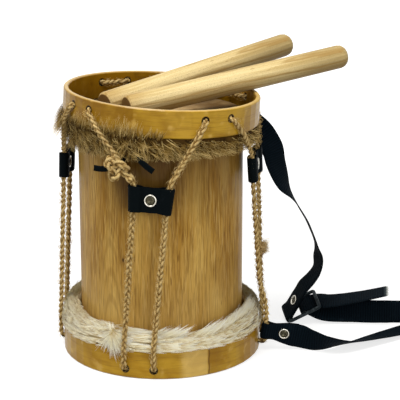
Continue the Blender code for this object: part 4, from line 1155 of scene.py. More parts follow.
def rivet_cap(place, radius, face):
    """An eyelet's rolled rim round a recessed middle, on both faces of the leather."""
    parts, middles = [], []
    for way in (1.0, -1.0):
        flip = place @ Matrix.Rotation(0.0 if way > 0 else math.pi, 4, "X")
        rim = [(radius * 0.20, face - 0.0002), (radius * 0.96, face - 0.0002), (radius, face + 0.0003)]
        rim += [(radius * (0.88 + 0.12 * math.cos(a)), face + 0.0004 + 0.0007 * math.sin(a))
                for a in (0.25, 0.7, 1.2, 1.7, 2.2, 2.7)]
        rim += [(radius * 0.75, face + 0.0002), (radius * 0.72, face)]
        parts.append(spun(rim, flip))
        dome = [(radius * 0.735, face - 0.0001), (radius * 0.73, face + 0.0001), (radius * 0.56, face + 0.0001)]
        dome += [(radius * 0.50, face + 0.0006), (radius * 0.42, face + 0.0008), (radius * 0.36, face + 0.0003)]
        dome += [(radius * 0.04, face + 0.0002)]
        middles.append(spun(dome, flip))
    return joined(parts), joined(middles)


RIVET_RADIUS = 0.0062
turned = Matrix.Rotation(-math.pi / 2, 4, "X")
for name in TUGS:
    place = tugs[name].matrix() @ turned
    rim, middle = rivet_cap(place, RIVET_RADIUS, TUG_WALL + TUG_PINCH_GAP / 2 + CLEARANCE)
    piece("rivet_rim_" + name, rim[0], rim[1], NICKEL, "tug_" + name, ["tug_rivet_" + name])
    piece("rivet_middle_" + name, middle[0], middle[1], MIDDLE, "tug_" + name)
print("rivet radius", RIVET_RADIUS)

# %% [markdown]
# ## The upper skin
#
# The playing face is dried skin: cream and brown patches under a dull shine. Inside the hoop the
# skin's edge still carries short fur.

# %% Heads
graph = Graph("dried_skin")
point = graph.object_point()
cloud = graph.noise(point, 22.0, 5.0, 0.6, 0.5)
spots = graph.noise(point, 120.0, 3.0, 0.6)
veins = graph.noise(graph.scaled(point, (1.0, 2.2, 1.0)), 60.0, 4.0, 0.65, 1.5)
colour = graph.mix(cloud.between(0.35, 0.65), srgb(184, 154, 106), srgb(132, 100, 56))
colour = graph.mix(spots.between(0.55, 0.75) * 0.5, colour, srgb(120, 88, 50))
colour = graph.mix(veins.between(0.60, 0.72) * 0.3, colour, srgb(206, 182, 136))
_around, _angle, apart, _height = round_the_drum(graph, point)
shaded = apart.between(0.026, 0.058) * (0.52 + spots * 0.4)
colour = graph.mix(shaded, colour, srgb(74, 50, 20))
normal = graph.bump(veins * 0.5 + spots * 0.5, 0.4, 0.0005)
SKIN = graph.surface(colour, 0.5, normal, Coat_Weight=0.1)


def skin_disc(name, height, radius, skirt, way, body_node):
    """A stretched skin with faint hollows, turned down over the shell's edge."""
    rings, vertices = [], []
    steps = 96
    for share in (0.03, 0.2, 0.4, 0.6, 0.75, 0.88, 0.95):
        rings.append((radius * share, 0.0))
    for angle in (0, 20, 40, 60, 80, 90):
        a = math.radians(angle)
        rings.append((radius - 0.003 + 0.003 * math.sin(a), -0.003 + 0.003 * math.cos(a)))
    for down in (0.25, 0.5, 0.75, 1.0):
        rings.append((radius, -0.003 - (skirt - 0.003) * down))
    rings.append((radius - 0.0011, -skirt))
    rings.append((radius - 0.0011, -0.004))
    rings.append((radius - 0.004, -0.0012))
    rings.append((radius * 0.5, -0.0012))
    rings.append((radius * 0.03, -0.0012))
    for r, z in rings:
        for k in range(steps):
            a = 2 * math.pi * k / steps
            x, y = r * math.cos(a), r * math.sin(a)
            dent = -0.00035 * (0.5 + 0.5 * ripple((x, y, 0.0), 30.0, height * 10)) * min(1.0, (radius - r) / 0.01)
            level = z + (dent if z == 0.0 else 0.0)
            vertices.append((x, y, height + way * level))
    faces = grid_faces(len(rings), steps, closed_columns=True)
    faces.append(tuple(reversed(range(steps))))
    faces.append(tuple((len(rings) - 1) * steps + k for k in range(steps)))
    if way < 0:
        faces = [tuple(reversed(face)) for face in faces]
    return piece(name, vertices, faces, SKIN, "drum", [body_node])


skin_disc("skin_top", 0.2515, 0.0858, 0.0190, 1.0, "top_head")
skin_disc("skin_bottom", 0.0210, 0.0858, 0.0150, -1.0, "bottom_head")
print("skins: 2")

# %% [markdown]
# ## The upper fur
#
# The fur hangs from under the top hoop as a matted roll. A rough roll in shadow colour fills it, and
# curly hairs grow from it: most hang down and sweep to one side, some stand up before the hoop.

# %% Fur roll
def lean_point(radius, azimuth, height):
    """A point of the leaning top, from its height above the level playing face."""
    return leaning @ around(radius, azimuth, height)


def fur_roll(name, outline, place, roughness, seed, material, replaced):
    steps = 220
    vertices, tips, tints = [], [], []
    for k in range(steps):
        azimuth = 360.0 * k / steps
        for i, (radius, height, loose) in enumerate(outline):
            spot = around(radius, azimuth, height)
            lump = ripple(tuple(spot), 55.0, seed) * 0.6 + ripple(tuple(spot), 150.0, seed + 2) * 0.4
            vertices.append(place(radius + lump * roughness * loose, azimuth, height + lump * roughness * 0.5 * loose))
            tips.append(0.04 + 0.20 * max(0.0, lump))
            tints.append(0.35 + 0.45 * ripple(tuple(spot), 200.0, seed + 4))
    faces = grid_faces(steps, len(outline), closed_rows=True, closed_columns=True)
    return piece(name, vertices, faces, material, "drum", replaced, {"tip": tips, "tint": tints})


TOP_FUR = fibre_material("top_fur_hair", (68, 46, 14), (146, 114, 54), (224, 194, 126), 0.8, 0.95, (40, 26, 6))
TOP_DEPTHS = ((-180, 0.020), (-120, 0.024), (-66, 0.025), (-30, 0.022), (0, 0.018), (34, 0.0135), (75, 0.0125),
              (120, 0.015), (180, 0.020))


def by_azimuth(table, azimuth):
    """A value read between the azimuths of a table."""
    return np.interp(azimuth, [row[0] for row in table], [row[1] for row in table])


def top_place(radius, azimuth, height):
    """The roll hangs as deep as the fur does there, but for the hair's last 5 mm."""
    depth = by_azimuth(TOP_DEPTHS, (azimuth + 180.0) % 360.0 - 180.0) - 0.0020
    return lean_point(radius, azimuth, height if height > -0.003 else -0.003 + (height + 0.003) * depth / 0.0265)


top_outline = [
    (0.0875, 0.0030, 0.1), (0.0920, 0.0047, 0.0), (0.0968, 0.0050, 0.0), (0.0975, 0.0015, 0.5),
    (0.0965, -0.0050, 1.0), (0.0955, -0.0120, 1.0), (0.0930, -0.0190, 1.0), (0.0905, -0.0245, 0.9),
    (0.0880, -0.0265, 0.6), (0.0868, -0.0240, 0.2), (0.0868, -0.0120, 0.0),
]
top_roll = fur_roll("top_fur_roll", top_outline, top_place, 0.0024, 4.0, TOP_FUR, ["top_fur_collar"])
print("top roll:", len(top_roll.data.vertices), "points")

# %% Top hair
up = np.array([0.0, 0.0, 1.0])


def directions(azimuths):
    """Outward and sideways unit vectors at each azimuth in degrees."""
    a = np.radians(azimuths)
    out = np.stack([np.sin(a), -np.cos(a), np.zeros_like(a)], axis=1)
    aside = np.stack([np.cos(a), np.sin(a), np.zeros_like(a)], axis=1)
    return out, aside


def leaned(points):
    rotation = np.array(leaning.to_3x3())
    return points @ rotation.T + np.array(leaning.translation)


def top_locks(seed, count, azimuths, heights, radius, lengths, flow_of, per_lock, width, tints, spread=0.0010,
              bulge=0.22, curl=0.0008):
    """Locks of the upper fur; flow_of gives each lock's direction from its unit vectors."""
    local = np.random.default_rng(seed)
    azimuth = local.uniform(*azimuths, count)
    height = local.uniform(*heights, count)
    out, aside = directions(azimuth)
    flow = flow_of(local, azimuth, out, aside)
    flow /= np.linalg.norm(flow, axis=1)[:, None]
    lowest = -by_azimuth(TOP_DEPTHS, azimuth)
    height = np.where(height < 0.0, height * lowest / -0.0185, height)
    length = local.uniform(*lengths, count)
    fall = np.maximum(-flow[:, 2], 0.001)
    length = np.where(flow[:, 2] < -0.2, np.minimum(length, (height - lowest) / fall + 0.003), length)
    inward = 0.006 * np.clip((-height - 0.010) / 0.014, 0.0, 1.0)
    starts = out * (radius - inward)[:, None] + up * height[:, None]
    ends = starts + flow * length[:, None]
    shade = local.uniform(*tints, count)
    return hair_locks(local, leaned(starts), leaned(ends), out, per_lock, spread, width, bulge, shade, curl=curl)


def hanging(local, azimuth, out, aside):
    count = len(azimuth)
    sweep = local.normal(0.30, 0.60, count) + 0.35 * np.sin(np.radians(azimuth * 5.0))
    return -up + aside * sweep[:, None] + out * local.uniform(-0.05, 0.30, count)[:, None]


def standing(local, azimuth, out, aside):
    count = len(azimuth)
    return up + aside * local.normal(0.24, 0.32, count)[:, None] + out * local.uniform(0.02, 0.16, count)[:, None]


def sideways(local, azimuth, out, aside):
    count = len(azimuth)
    return aside - up * local.uniform(0.1, 0.7, count)[:, None] + out * local.uniform(0.1, 0.4, count)[:, None]


def drooping(local, azimuth, out, aside):
    count = len(azimuth)
    return -up * 0.85 + out * local.uniform(0.30, 0.58, count)[:, None] + aside * local.normal(0.0, 0.09, count)[:, None]


every, front = (-180.0, 180.0), (-62.0, 6.0)
made = [
    top_locks(21, 1000, every, (-0.0170, 0.0040), 0.0965, (0.012, 0.025), hanging, 8, (0.00026, 0.00050), (0.0, 0.85),
              spread=0.0013, curl=0.0006),
    top_locks(22, 460, every, (-0.0130, 0.0040), 0.0975, (0.010, 0.022), sideways, 5, (0.00026, 0.00050), (0.1, 1.0),
              curl=0.0022),
    top_locks(23, 170, front, (0.0010, 0.0055), 0.1008, (0.007, 0.015), standing, 6, (0.00024, 0.00042), (0.0, 0.75),
              bulge=0.10),
    top_locks(24, 64, (-52.0, -4.0), (0.0015, 0.0060), 0.1010, (0.014, 0.023), standing, 4, (0.00022, 0.00036),
              (0.3, 1.0), bulge=0.12),
    top_locks(25, 170, (-110.0, -64.0), (-0.0030, 0.0110), 0.1008, (0.016, 0.027), drooping, 9, (0.00026, 0.00046),
              (0.34, 1.0), spread=0.0010, bulge=0.08),
    top_locks(26, 10, (18.0, 36.0), (-0.0140, -0.0080), 0.0975, (0.016, 0.024), sideways, 2, (0.00030, 0.00040),
              (0.9, 1.0)),
]
vertices, faces, layers = joined(made)
top_hair = piece("top_fur_hair", vertices, faces, TOP_FUR, "drum", attributes=layers)
print("top hair:", len(faces), "quads")

# %% Fringe inside the hoop
local = np.random.default_rng(51)
count = 1900
azimuth = local.uniform(-180, 180, count)
out, aside = directions(azimuth)
roots = out * local.uniform(0.0868, 0.0935, count)[:, None] + up * local.uniform(0.0005, 0.0030, count)[:, None]
length = local.uniform(0.004, 0.011, count)[:, None]
flow = aside * local.normal(0.5, 0.5, count)[:, None] - out * local.uniform(0.1, 0.6, count)[:, None]
flow += up * local.uniform(0.05, 0.55, count)[:, None]
tips = roots + flow * length
bends = roots + (up * 0.5 + aside * 0.2) * length
vertices, faces, layers = ribbons(leaned(roots), leaned(tips), leaned(bends), np.full(count, 0.00034), up - out * 0.5,
                                  segments=4, curl=0.0006, seed=52)
FRINGE = fibre_material("fringe_hair", (60, 40, 16), (160, 130, 78), (230, 210, 162), 0.8, 0.6, (56, 36, 12))
piece("inner_fringe", vertices, faces, FRINGE, "drum", attributes=layers)
print("fringe:", count, "hairs")

# %% [markdown]
# ## The lower fur
#
# The lower fur is long and cream coloured. It is parted at a tuft at the front left: to the right of
# it the locks are combed right along the hoop with lifted points, to the left they run left.

# %% Bottom fur
BOTTOM_FUR = fibre_material("bottom_fur_hair", (206, 182, 126), (250, 242, 208), (255, 253, 242), 0.7, 0.46,
                            (136, 108, 58), (255, 248, 222))
FUR_FOOT = 0.0298
BOTTOM_RISES = ((-180, 1.0), (-100, 1.2), (-66, 1.2), (-45, 0.8), (-20, 0.9), (-5, 0.72), (15, 0.58), (35, 0.62),
                (44, 0.75), (54, 1.0), (75, 1.05), (100, 1.0), (180, 1.0))


def bottom_place(radius, azimuth, height):
    """The roll is lower at the front than at the sides."""
    rise = by_azimuth(BOTTOM_RISES, (azimuth + 180.0) % 360.0 - 180.0)
    return around(radius, azimuth, FUR_FOOT + (height - FUR_FOOT) * rise)


bottom_outline = [
    (0.0882, 0.0455, 0.6), (0.0905, 0.0472, 0.8), (0.0945, 0.0465, 1.0), (0.0982, 0.0430, 1.0),
    (0.1006, 0.0385, 1.0), (0.1014, 0.0335, 0.8), (0.1008, 0.0302, 0.2), (0.0985, 0.0298, 0.0),
    (0.0930, 0.0300, 0.0), (0.0872, 0.0400, 0.0), (0.0868, 0.0450, 0.3),
]
bottom_roll = fur_roll("bottom_fur_roll", bottom_outline, bottom_place, 0.0016, 14.0, BOTTOM_FUR,
                       ["bottom_fur_collar"])
PARTING = -21.6


def combed(seed, count, azimuths, shares, lengths, rises, per_lock, width, tints, flare=0.0):
    """Locks combed away from the parting along the hoop, from share 0 at its edge to 1 on top."""
    local = np.random.default_rng(seed)
    azimuth = local.uniform(*azimuths, count)
    share = local.uniform(*shares, count)
    way = np.where((azimuth > PARTING) & (azimuth < 158.4), 1.0, -1.0)
    slope = np.radians(150.0 * share)
    height = FUR_FOOT + 0.0008 + 0.0190 * np.sin(np.minimum(slope, 1.57)) * by_azimuth(BOTTOM_RISES, azimuth)
    radius = 0.0955 + 0.0085 * np.cos(slope)
    length = local.uniform(*lengths, count)
    rise = local.uniform(*rises, count)
    turned = azimuth + np.degrees(length * way / 0.103)
    out, _aside = directions(azimuth)
    end_out, _end = directions(turned)
    starts = out * radius[:, None] + up * height[:, None]
    level = np.maximum(height + rise * length, FUR_FOOT - 0.0015 - flare)
    ends = end_out * (radius + 0.0006 + flare * local.uniform(0.2, 1.0, count))[:, None] + up * level[:, None]
    shade = local.uniform(*tints, count)
    return hair_locks(local, starts, ends, (out + end_out) / 2 + up * 0.15, per_lock, 0.0009, width, 0.09, shade,
                      curl=0.0003, turns=0.5)


RIGHT, LEFT = (PARTING, 158.0), (-202.0, PARTING)
made = [
    combed(61, 760, RIGHT, (0.0, 1.0), (0.018, 0.036), (-0.08, 0.08), 9, (0.00034, 0.00070), (0.34, 1.0)),
    combed(62, 760, LEFT, (0.0, 1.0), (0.016, 0.032), (-0.10, 0.10), 9, (0.00034, 0.00070), (0.34, 1.0)),
    combed(63, 110, RIGHT, (0.50, 0.80), (0.012, 0.022), (0.06, 0.26), 6, (0.00030, 0.00055), (0.3, 1.0)),
    combed(64, 44, (-2.0, 12.0), (0.40, 0.60), (0.018, 0.027), (0.26, 0.62), 9, (0.00030, 0.00055), (0.3, 0.9), 0.002),
    combed(65, 40, (24.0, 35.0), (0.40, 0.60), (0.018, 0.027), (0.28, 0.68), 9, (0.00030, 0.00055), (0.5, 1.0), 0.002),
    combed(66, 84, (38.0, 72.0), (0.40, 0.65), (0.014, 0.026), (0.30, 0.75), 8, (0.00030, 0.00055), (0.5, 1.0), 0.001),
    combed(67, 110, LEFT, (0.45, 0.75), (0.010, 0.020), (0.10, 0.45), 6, (0.00030, 0.00055), (0.0, 0.8), 0.001),
    combed(68, 150, RIGHT, (0.0, 0.06), (0.012, 0.022), (-0.18, -0.02), 6, (0.00030, 0.00055), (0.2, 1.0), 0.001),
    combed(69, 130, LEFT, (0.0, 0.06), (0.012, 0.020), (-0.22, -0.02), 6, (0.00030, 0.00055), (0.1, 0.9), 0.001),
]


def star(seed, count, angles, lengths, per_lock, width, tints, spread):
    """Locks that start together at the parting and spread over the fur and the hoop."""
    local = np.random.default_rng(seed)
    angle = np.radians(local.uniform(*angles, count))
    length = local.uniform(*lengths, count)
    azimuth = PARTING + local.normal(0.0, 0.8, count)
    turned = azimuth + np.degrees(length * np.cos(angle) / 0.1045)
    out, _aside = directions(azimuth)
    end_out, _end = directions(turned)
    starts = out * 0.1042 + up * (0.0470 + local.normal(0.0, 0.0010, count))[:, None]
    fall = np.sin(angle) * length
    end_radius = 0.1048 - 0.35 * np.maximum(fall, 0.0)
    ends = end_out * end_radius[:, None] + up * (0.0470 + fall)[:, None]
    return hair_locks(local, starts, ends, (out + end_out) / 2, per_lock, spread, width, 0.14,
                      local.uniform(*tints, count), loose=0.6, curl=0.0004)


made += [
    star(91, 26, (-180.0, 180.0), (0.007, 0.013), 9, (0.00034, 0.00060), (0.1, 0.9), 0.0007),
    star(92, 54, (-120.0, -12.0), (0.014, 0.029), 9, (0.00034, 0.00062), (0.0, 1.0), 0.0007),
    star(93, 20, (-98.0, -60.0), (0.022, 0.034), 7, (0.00036, 0.00060), (0.2, 1.0), 0.0008),
    star(94, 16, (-176.0, -120.0), (0.012, 0.022), 8, (0.00034, 0.00060), (0.0, 0.8), 0.0007),
    star(95, 10, (-150.0, -114.0), (0.028, 0.040), 2, (0.00036, 0.00048), (0.6, 1.0), 0.0004),
    star(96, 24, (-80.0, 10.0), (0.012, 0.026), 9, (0.00034, 0.00060), (0.0, 0.5), 0.0007),
]
vertices, faces, layers = joined(made)
bottom_hair = piece("bottom_fur_hair", vertices, faces, BOTTOM_FUR, "drum", attributes=layers)
print("bottom hair:", len(faces), "quads")

# %% [markdown]
# ## The carrying strap
#
# The strap follows the same curves as its solids, with closer rows, a rounded section and slightly
# wavy edges. It is black webbing with faint cross ribs.

# %% Strap route
STRAP_LAP = 0.0230
STRAP_RIVET_AT = 0.0150
STRAP_STEP = 0.0024
STRAP_START = 0.0065
STRAP_PAIR = 2
STRAP_ROPE_AT = 0.50
STRAP_FOOT_HEIGHT = 0.0215
STRAP_FOOT_DROP = 0.18
STRAP_BAR_PLAY = 0.0004
STRAP_AWAY = (1.0, 0.10, 0.05)
STRAP_LEAVE = (0.79, 0.61)
STRAP_RUN_UP = 0.0080
BUCKLE_LENGTH = 0.0400
BUCKLE_THICKNESS = 0.0036
BUCKLE_BAR = 0.0036
BUCKLE_EDGE = 0.0006
BUCKLE_PLACE = (1.424, 0.763)
BUCKLE_HEIGHT = 0.0163
BUCKLE_ALONG = (0.883, 0.084, 0.461)
BUCKLE_ACROSS = (-0.250, 0.920, 0.310)
LOWER_LAP = 0.0340
LOWER_RIVET_AT = 0.0200
LOWER_START = 0.0095
PLAYING_FACE_HEIGHT = FACE_HEIGHT
UPPER_ROUTE = (
    ((0.892, 0.620, 0.900), (0.52, -0.25, 0.82)),
    ((0.970, 0.588, 0.872), (0.66, 0.00, 0.75)),
    ((1.038, 0.584, 0.832), (0.78, 0.25, 0.57)),
    ((1.097, 0.602, 0.785), (0.82, 0.44, 0.32)),
    ((1.130, 0.615, 0.727), (0.75, 0.61, 0.21)),
    ((1.205, 0.643, 0.642), (0.50, 0.85, 0.10)),
    ((1.295, 0.662, 0.583), (0.09, 0.98, -0.15)),
    ((1.360, 0.674, 0.538), (-0.03, 0.97, -0.24)),
    ((1.468, 0.689, 0.460), (-0.07, 0.96, -0.27)),
    ((1.562, 0.700, 0.361), (-0.10, 0.96, -0.26)),
    ((1.587, 0.692, 0.303), (-0.40, 0.88, -0.25)),
    ((1.569, 0.681, 0.241), (-0.32, 0.94, 0.05)),
)
LONG_ROUTE = (
    ((1.549, -0.145, 0.500), (0.05, -0.25, 0.97)),
    ((1.665, -0.169, 0.440), (0.15, -0.55, 0.82)),
    ((1.781, -0.131, 0.350), (0.38, -0.68, 0.62)),
    ((1.907, -0.039, 0.256), (0.55, -0.72, 0.42)),
    ((2.062, 0.092, 0.205), (0.60, -0.74, 0.28)),
    ((2.246, 0.242, 0.184), (0.62, -0.76, 0.15)),
    ((2.459, 0.400, 0.180), (0.42, -0.90, 0.00)),
    ((2.700, 0.455, 0.320), (0.25, -0.90, -0.45)),
    ((2.865, 0.561, 0.500), (0.40, -0.30, -0.87)),
    ((2.836, 0.697, 0.524), (0.05, 0.05, -1.00)),
    ((2.672, 0.755, 0.524), (0.00, 0.02, -1.00)),
    ((2.449, 0.755, 0.524), (0.00, -0.08, -0.99)),
    ((2.200, 0.748, 0.510), (0.03, -0.25, -0.96)),
    ((1.980, 0.745, 0.515), (0.10, -0.50, -0.86)),
    ((1.820, 0.745, 0.490), (0.15, -0.62, -0.77)),
    ((1.665, 0.755, 0.460), (0.20, -0.78, -0.59)),
)
TAIL_ROUTE = (
    ((1.690, 0.770, 0.900), (0.20, -0.95, -0.24)),
    ((1.878, 0.755, 1.040), (0.12, -0.97, -0.18)),
    ((2.081, 0.741, 1.240), (0.02, -0.98, -0.14)),
    ((2.314, 0.726, 1.500), (0.00, -0.99, -0.10)),
)
def smooth_route(route, step):
    """Middle points and width directions read from a smooth curve through a route's own."""
    points = [Vector(point) for point, _width in route]
    widths = [Vector(width).normalized() for _point, width in route]
    out = []
    for i in range(len(points) - 1):
        spans = []
        for row in (points, widths):
            before = row[max(0, i - 1)]
            after = row[min(len(row) - 1, i + 2)]
            spans.append((before, row[i], row[i + 1], after))
        pieces = max(1, round((points[i + 1] - points[i]).length / step))
        for j in range(pieces):
            out.append(tuple(between(span, j / pieces) for span in spans))
    out.append((points[-1], widths[-1]))
    return [(point, width.normalized()) for point, width in out]


def between(span, share):
    """A Catmull-Rom curve between the two middle values of four."""
    before, start, end, after = span
    square = share * share
    cube = square * share
    bend = 2 * start + (end - before) * share + (2 * before - 5 * start + 4 * end - after) * square
    return 0.5 * (bend + (3 * start - before - 3 * end + after) * cube)


def frames(rows):
    """Each row's middle, width, face normal and run length, square to one another."""
    out = []
    run = 0.0
    for i, (point, width) in enumerate(rows):
        ahead = rows[min(i + 1, len(rows) - 1)][0]
        behind = rows[max(i - 1, 0)][0]
        tangent = (ahead - behind).normalized()
        width = (width - tangent * width.dot(tangent)).normalized()
        normal = width.cross(tangent).normalized()
        if i:
            run += (point - rows[i - 1][0]).length
        out.append((point, width, normal, tangent, run))
    return out


def folded(rows, bar_radius, lap, side):
    """The run that starts at a bar's axis, with its end folded round the bar and back."""
    reach = bar_radius + CLEARANCE + STRAP_THICKNESS / 2
    beside = (STRAP_THICKNESS + 1.5 * CLEARANCE) / 2
    placed = frames(rows)
    point, width, normal, tangent, _run = placed[0]
    normal = normal * side
    opening = 2 * reach
    back = []
    front = []
    for spot, spot_width, spot_normal, _t, run in placed[1:]:
        share = min(1.0, run / opening)
        share = share * share * (3 - 2 * share)
        offset = reach + (beside - reach) * share
        away = spot_normal * side * offset
        if run < lap:
            back.append((spot - away, spot_width))
        fade = min(1.0, max(0.0, (run - lap - 0.004) / 0.012))
        front.append((spot + away * (1 - fade), spot_width))
    bend = []
    for i in range(9):
        angle = math.radians(-90.0 + 22.5 * i)
        bend.append((point - tangent * (reach * math.cos(angle)) + normal * (reach * math.sin(angle)), width))
    return list(reversed(back)) + bend + front


def gathered(point, hook):
    """The webbing's width, drawn in where it is folded round a rope."""
    share = min(1.0, (point - hook).length / STRAP_GATHER_RUN)
    return STRAP_GATHER + (STRAP_WIDTH - STRAP_GATHER) * share * share * (3 - 2 * share)


def above_floor(rows):
    """The same run, raised wherever the webbing's lower edge would sink into the floor."""
    for _settle in range(3):
        lifted = []
        for (spot, width), (_p, across, normal, _t, _run) in zip(rows, frames(rows)):
            lowest = abs(across.z) * STRAP_WIDTH / 2 + abs(normal.z) * STRAP_THICKNESS / 2 + CLEARANCE
            lifted.append((Vector((spot.x, spot.y, max(spot.z, lowest))), width))
        rows = lifted
    return rows


def buckle_middle():
    x, y = BUCKLE_PLACE
    return Vector((BOTTOM_HOOP_RADIUS * x, BOTTOM_HOOP_RADIUS * y, BUCKLE_HEIGHT))


def placed_route(route, height):
    """A route's points in metres: x and y in hoop radii, z in shares of a height."""
    scale = (BOTTOM_HOOP_RADIUS, BOTTOM_HOOP_RADIUS, height)
    return [(tuple(value * unit for value, unit in zip(point, scale)), width) for point, width in route]


def buckle_axes():
    along = Vector(BUCKLE_ALONG).normalized()
    across = Vector(BUCKLE_ACROSS)
    across = (across - along * across.dot(along)).normalized()
    return along, across, along.cross(across)


def bar_reach():
    """From a buckle bar's axis to its chamfered corner."""
    return math.hypot(BUCKLE_BAR / 2, BUCKLE_THICKNESS / 2 - BUCKLE_EDGE)


def strap_routes():
    """Middle lines of both lengths, from the ropes and bars that hold them."""
    along, across, face = buckle_axes()
    middle = buckle_middle()
    bar = (BUCKLE_LENGTH - BUCKLE_BAR) / 2
    low_bar = middle - along * bar
    high_bar = middle + along * bar
    leave = (along * STRAP_LEAVE[0] + face * STRAP_LEAVE[1]).normalized()

    pair, spread = TOP_PAIRS[STRAP_PAIR]
    hooked_run = top_run(pair + spread, tugs["back"], -1, hook_room())
    hole_exit = hooked_run[1][0]
    hoop_edge = hooked_run[2][0]
    hook = hole_exit.lerp(hoop_edge, STRAP_ROPE_AT)
    rope_line = (hole_exit - hoop_edge).normalized()
    outward = Vector((hook.x, hook.y, 0.0)).normalized()
    hang = outward.cross(rope_line).normalized()
    upper = [(hook + hang * (STRAP_START * i), rope_line) for i in range(5)]
    upper += placed_route(UPPER_ROUTE, PLAYING_FACE_HEIGHT)
    upper += [(low_bar + leave * (LOWER_START * i), across) for i in reversed(range(5))]

    foot_azimuth = BOTTOM_PAIRS[1] - BOTTOM_HALF_SPREAD
    foot = around(bottom_rope_radius() + foot_room(), foot_azimuth, STRAP_FOOT_HEIGHT)
    out = Vector((1.0, 0.05, -STRAP_FOOT_DROP)).normalized()
    up = Vector((STRAP_FOOT_DROP, 0.0, 1.0)).normalized()
    long_way = [(foot + out * (LOWER_START * i), up) for i in range(5)]
    long_way += placed_route(LONG_ROUTE, STRAP_WIDTH)
    away = Vector(STRAP_AWAY)
    away = (away - across * away.dot(across)).normalized()
    above = away.cross(across)
    reach = bar_reach() + CLEARANCE + STRAP_THICKNESS / 2
    long_way += [(middle + away * STRAP_RUN_UP - above * (reach + CLEARANCE), -across)]
    long_way += [(middle - above * reach, -across)]
    bend = []
    for i in range(1, 8):
        angle = math.radians(-90.0 + 22.5 * i)
        spot = middle - away * (reach * math.cos(angle)) + above * (reach * math.sin(angle))
        bend.append((spot, -across))
    under_bar = high_bar - face * (reach + STRAP_BAR_PLAY)
    tail = [(middle + above * reach, -across), (under_bar, -across)]
    tail += placed_route(TAIL_ROUTE, STRAP_WIDTH)
    long_way = smooth_route(long_way, STRAP_STEP) + bend + smooth_route(tail, STRAP_STEP)
    return smooth_route(upper, STRAP_STEP), above_floor(long_way)


upper_line, long_line = strap_routes()
print("upper length: %d rows, long length: %d rows" % (len(upper_line), len(long_line)))

# %% Webbing
def webbing(rows, widths, seed, fray=0.0):
    """A strip with soft edges and attributes for its weave."""
    columns = 9
    vertices, runs, sides = [], [], []
    placed = frames(rows)
    total = placed[-1][4]
    for (point, across, normal, _tangent, run), width in zip(placed, widths):
        wave = 1.0 + 0.012 * ripple((run, 0.0, 0.0), 130.0, seed)
        sway = 0.00018 * ripple((run, 0.0, 0.0), 60.0, seed + 5)
        ring = []
        for k in range(columns):
            x = -1.0 + 2.0 * k / (columns - 1)
            ring.append((x, 0.5 * (1.0 - 0.55 * abs(x) ** 8)))
        ring += [(x, -y) for x, y in reversed(ring)]
        for x, y in ring:
            vertices.append(point + across * (x * width / 2 * wave) + normal * (y * STRAP_THICKNESS * 0.96 + sway))
            runs.append(run)
            sides.append(x)
    around_section = 2 * columns
    faces = grid_faces(len(rows), around_section, closed_columns=True)
    faces.append(tuple(reversed(range(around_section))))
    faces.append(tuple((len(rows) - 1) * around_section + k for k in range(around_section)))
    return vertices, faces, {"run": runs, "across": sides, "end": [max(0.0, 1 - (total - r) / 0.004) for r in runs]}


graph = Graph("black_webbing")
run = graph.attribute("run")
across = graph.attribute("across")
point = graph.object_point()
ribs = (run * (2 * math.pi / 0.0026)).sine()
weave = (across * 40.0 + run * 1500.0).sine() * (across * 40.0 - run * 1500.0).sine()
dust = graph.noise(point, 90.0, 4.0, 0.65)
lint = graph.noise(point, 1500.0, 2.0, 0.7)
colour = graph.mix(ribs.between(-0.6, 0.9), srgb(1, 6, 12), srgb(5, 16, 23))
colour = graph.mix(dust.between(0.54, 0.80) * 0.30, colour, srgb(30, 42, 50))
colour = graph.mix(lint.between(0.74, 0.82) * 0.4, colour, srgb(84, 92, 96))
edge = across.absolute().between(0.88, 1.0) * 0.5
colour = graph.mix(edge, colour, srgb(2, 5, 8))
frayed = graph.attribute("end")
colour = graph.mix(frayed.between(0.2, 1.0) * 0.6, colour, srgb(70, 78, 80))
normal = graph.bump(ribs * 0.6 + weave * 0.4 + lint * 0.3, 0.6, 0.0004)
WEBBING = graph.surface(colour, 0.80, normal, Specular_IOR_Level=0.05)

backwards = list(reversed(upper_line))
half = len(upper_line) // 2
top_fold = folded(upper_line, ROPE_RADIUS, STRAP_LAP, -1)
low_fold = list(reversed(folded(backwards, bar_reach(), LOWER_LAP, -1)))
upper_rows = top_fold[: len(top_fold) - half] + low_fold[len(upper_line) - half:]
upper_widths = [gathered(spot, upper_line[0][0]) for spot, _width in upper_rows]
vertices, faces, layers = webbing(upper_rows, upper_widths, 2.0)
layers["end"] = [0.0] * len(layers["end"])
upper_strap = piece("strap_upper_webbing", vertices, faces, WEBBING, "drum", ["strap_upper"], layers)
long_rows = folded(long_line, ROPE_RADIUS + STRAP_FOOT_PLAY, LOWER_LAP, -1)
long_widths = [gathered(spot, long_line[0][0]) for spot, _width in long_rows]
vertices, faces, layers = webbing(long_rows, long_widths, 9.0)
long_strap = piece("strap_long_webbing", vertices, faces, WEBBING, "drum", ["strap_long"], layers)


def route_length(rows):
    return sum((b[0] - a[0]).length for a, b in zip(rows, rows[1:]))


upper_length = route_length(upper_line)
long_length = route_length(long_line)
print("strap lengths %.3f and %.3f m" % (upper_length, long_length))

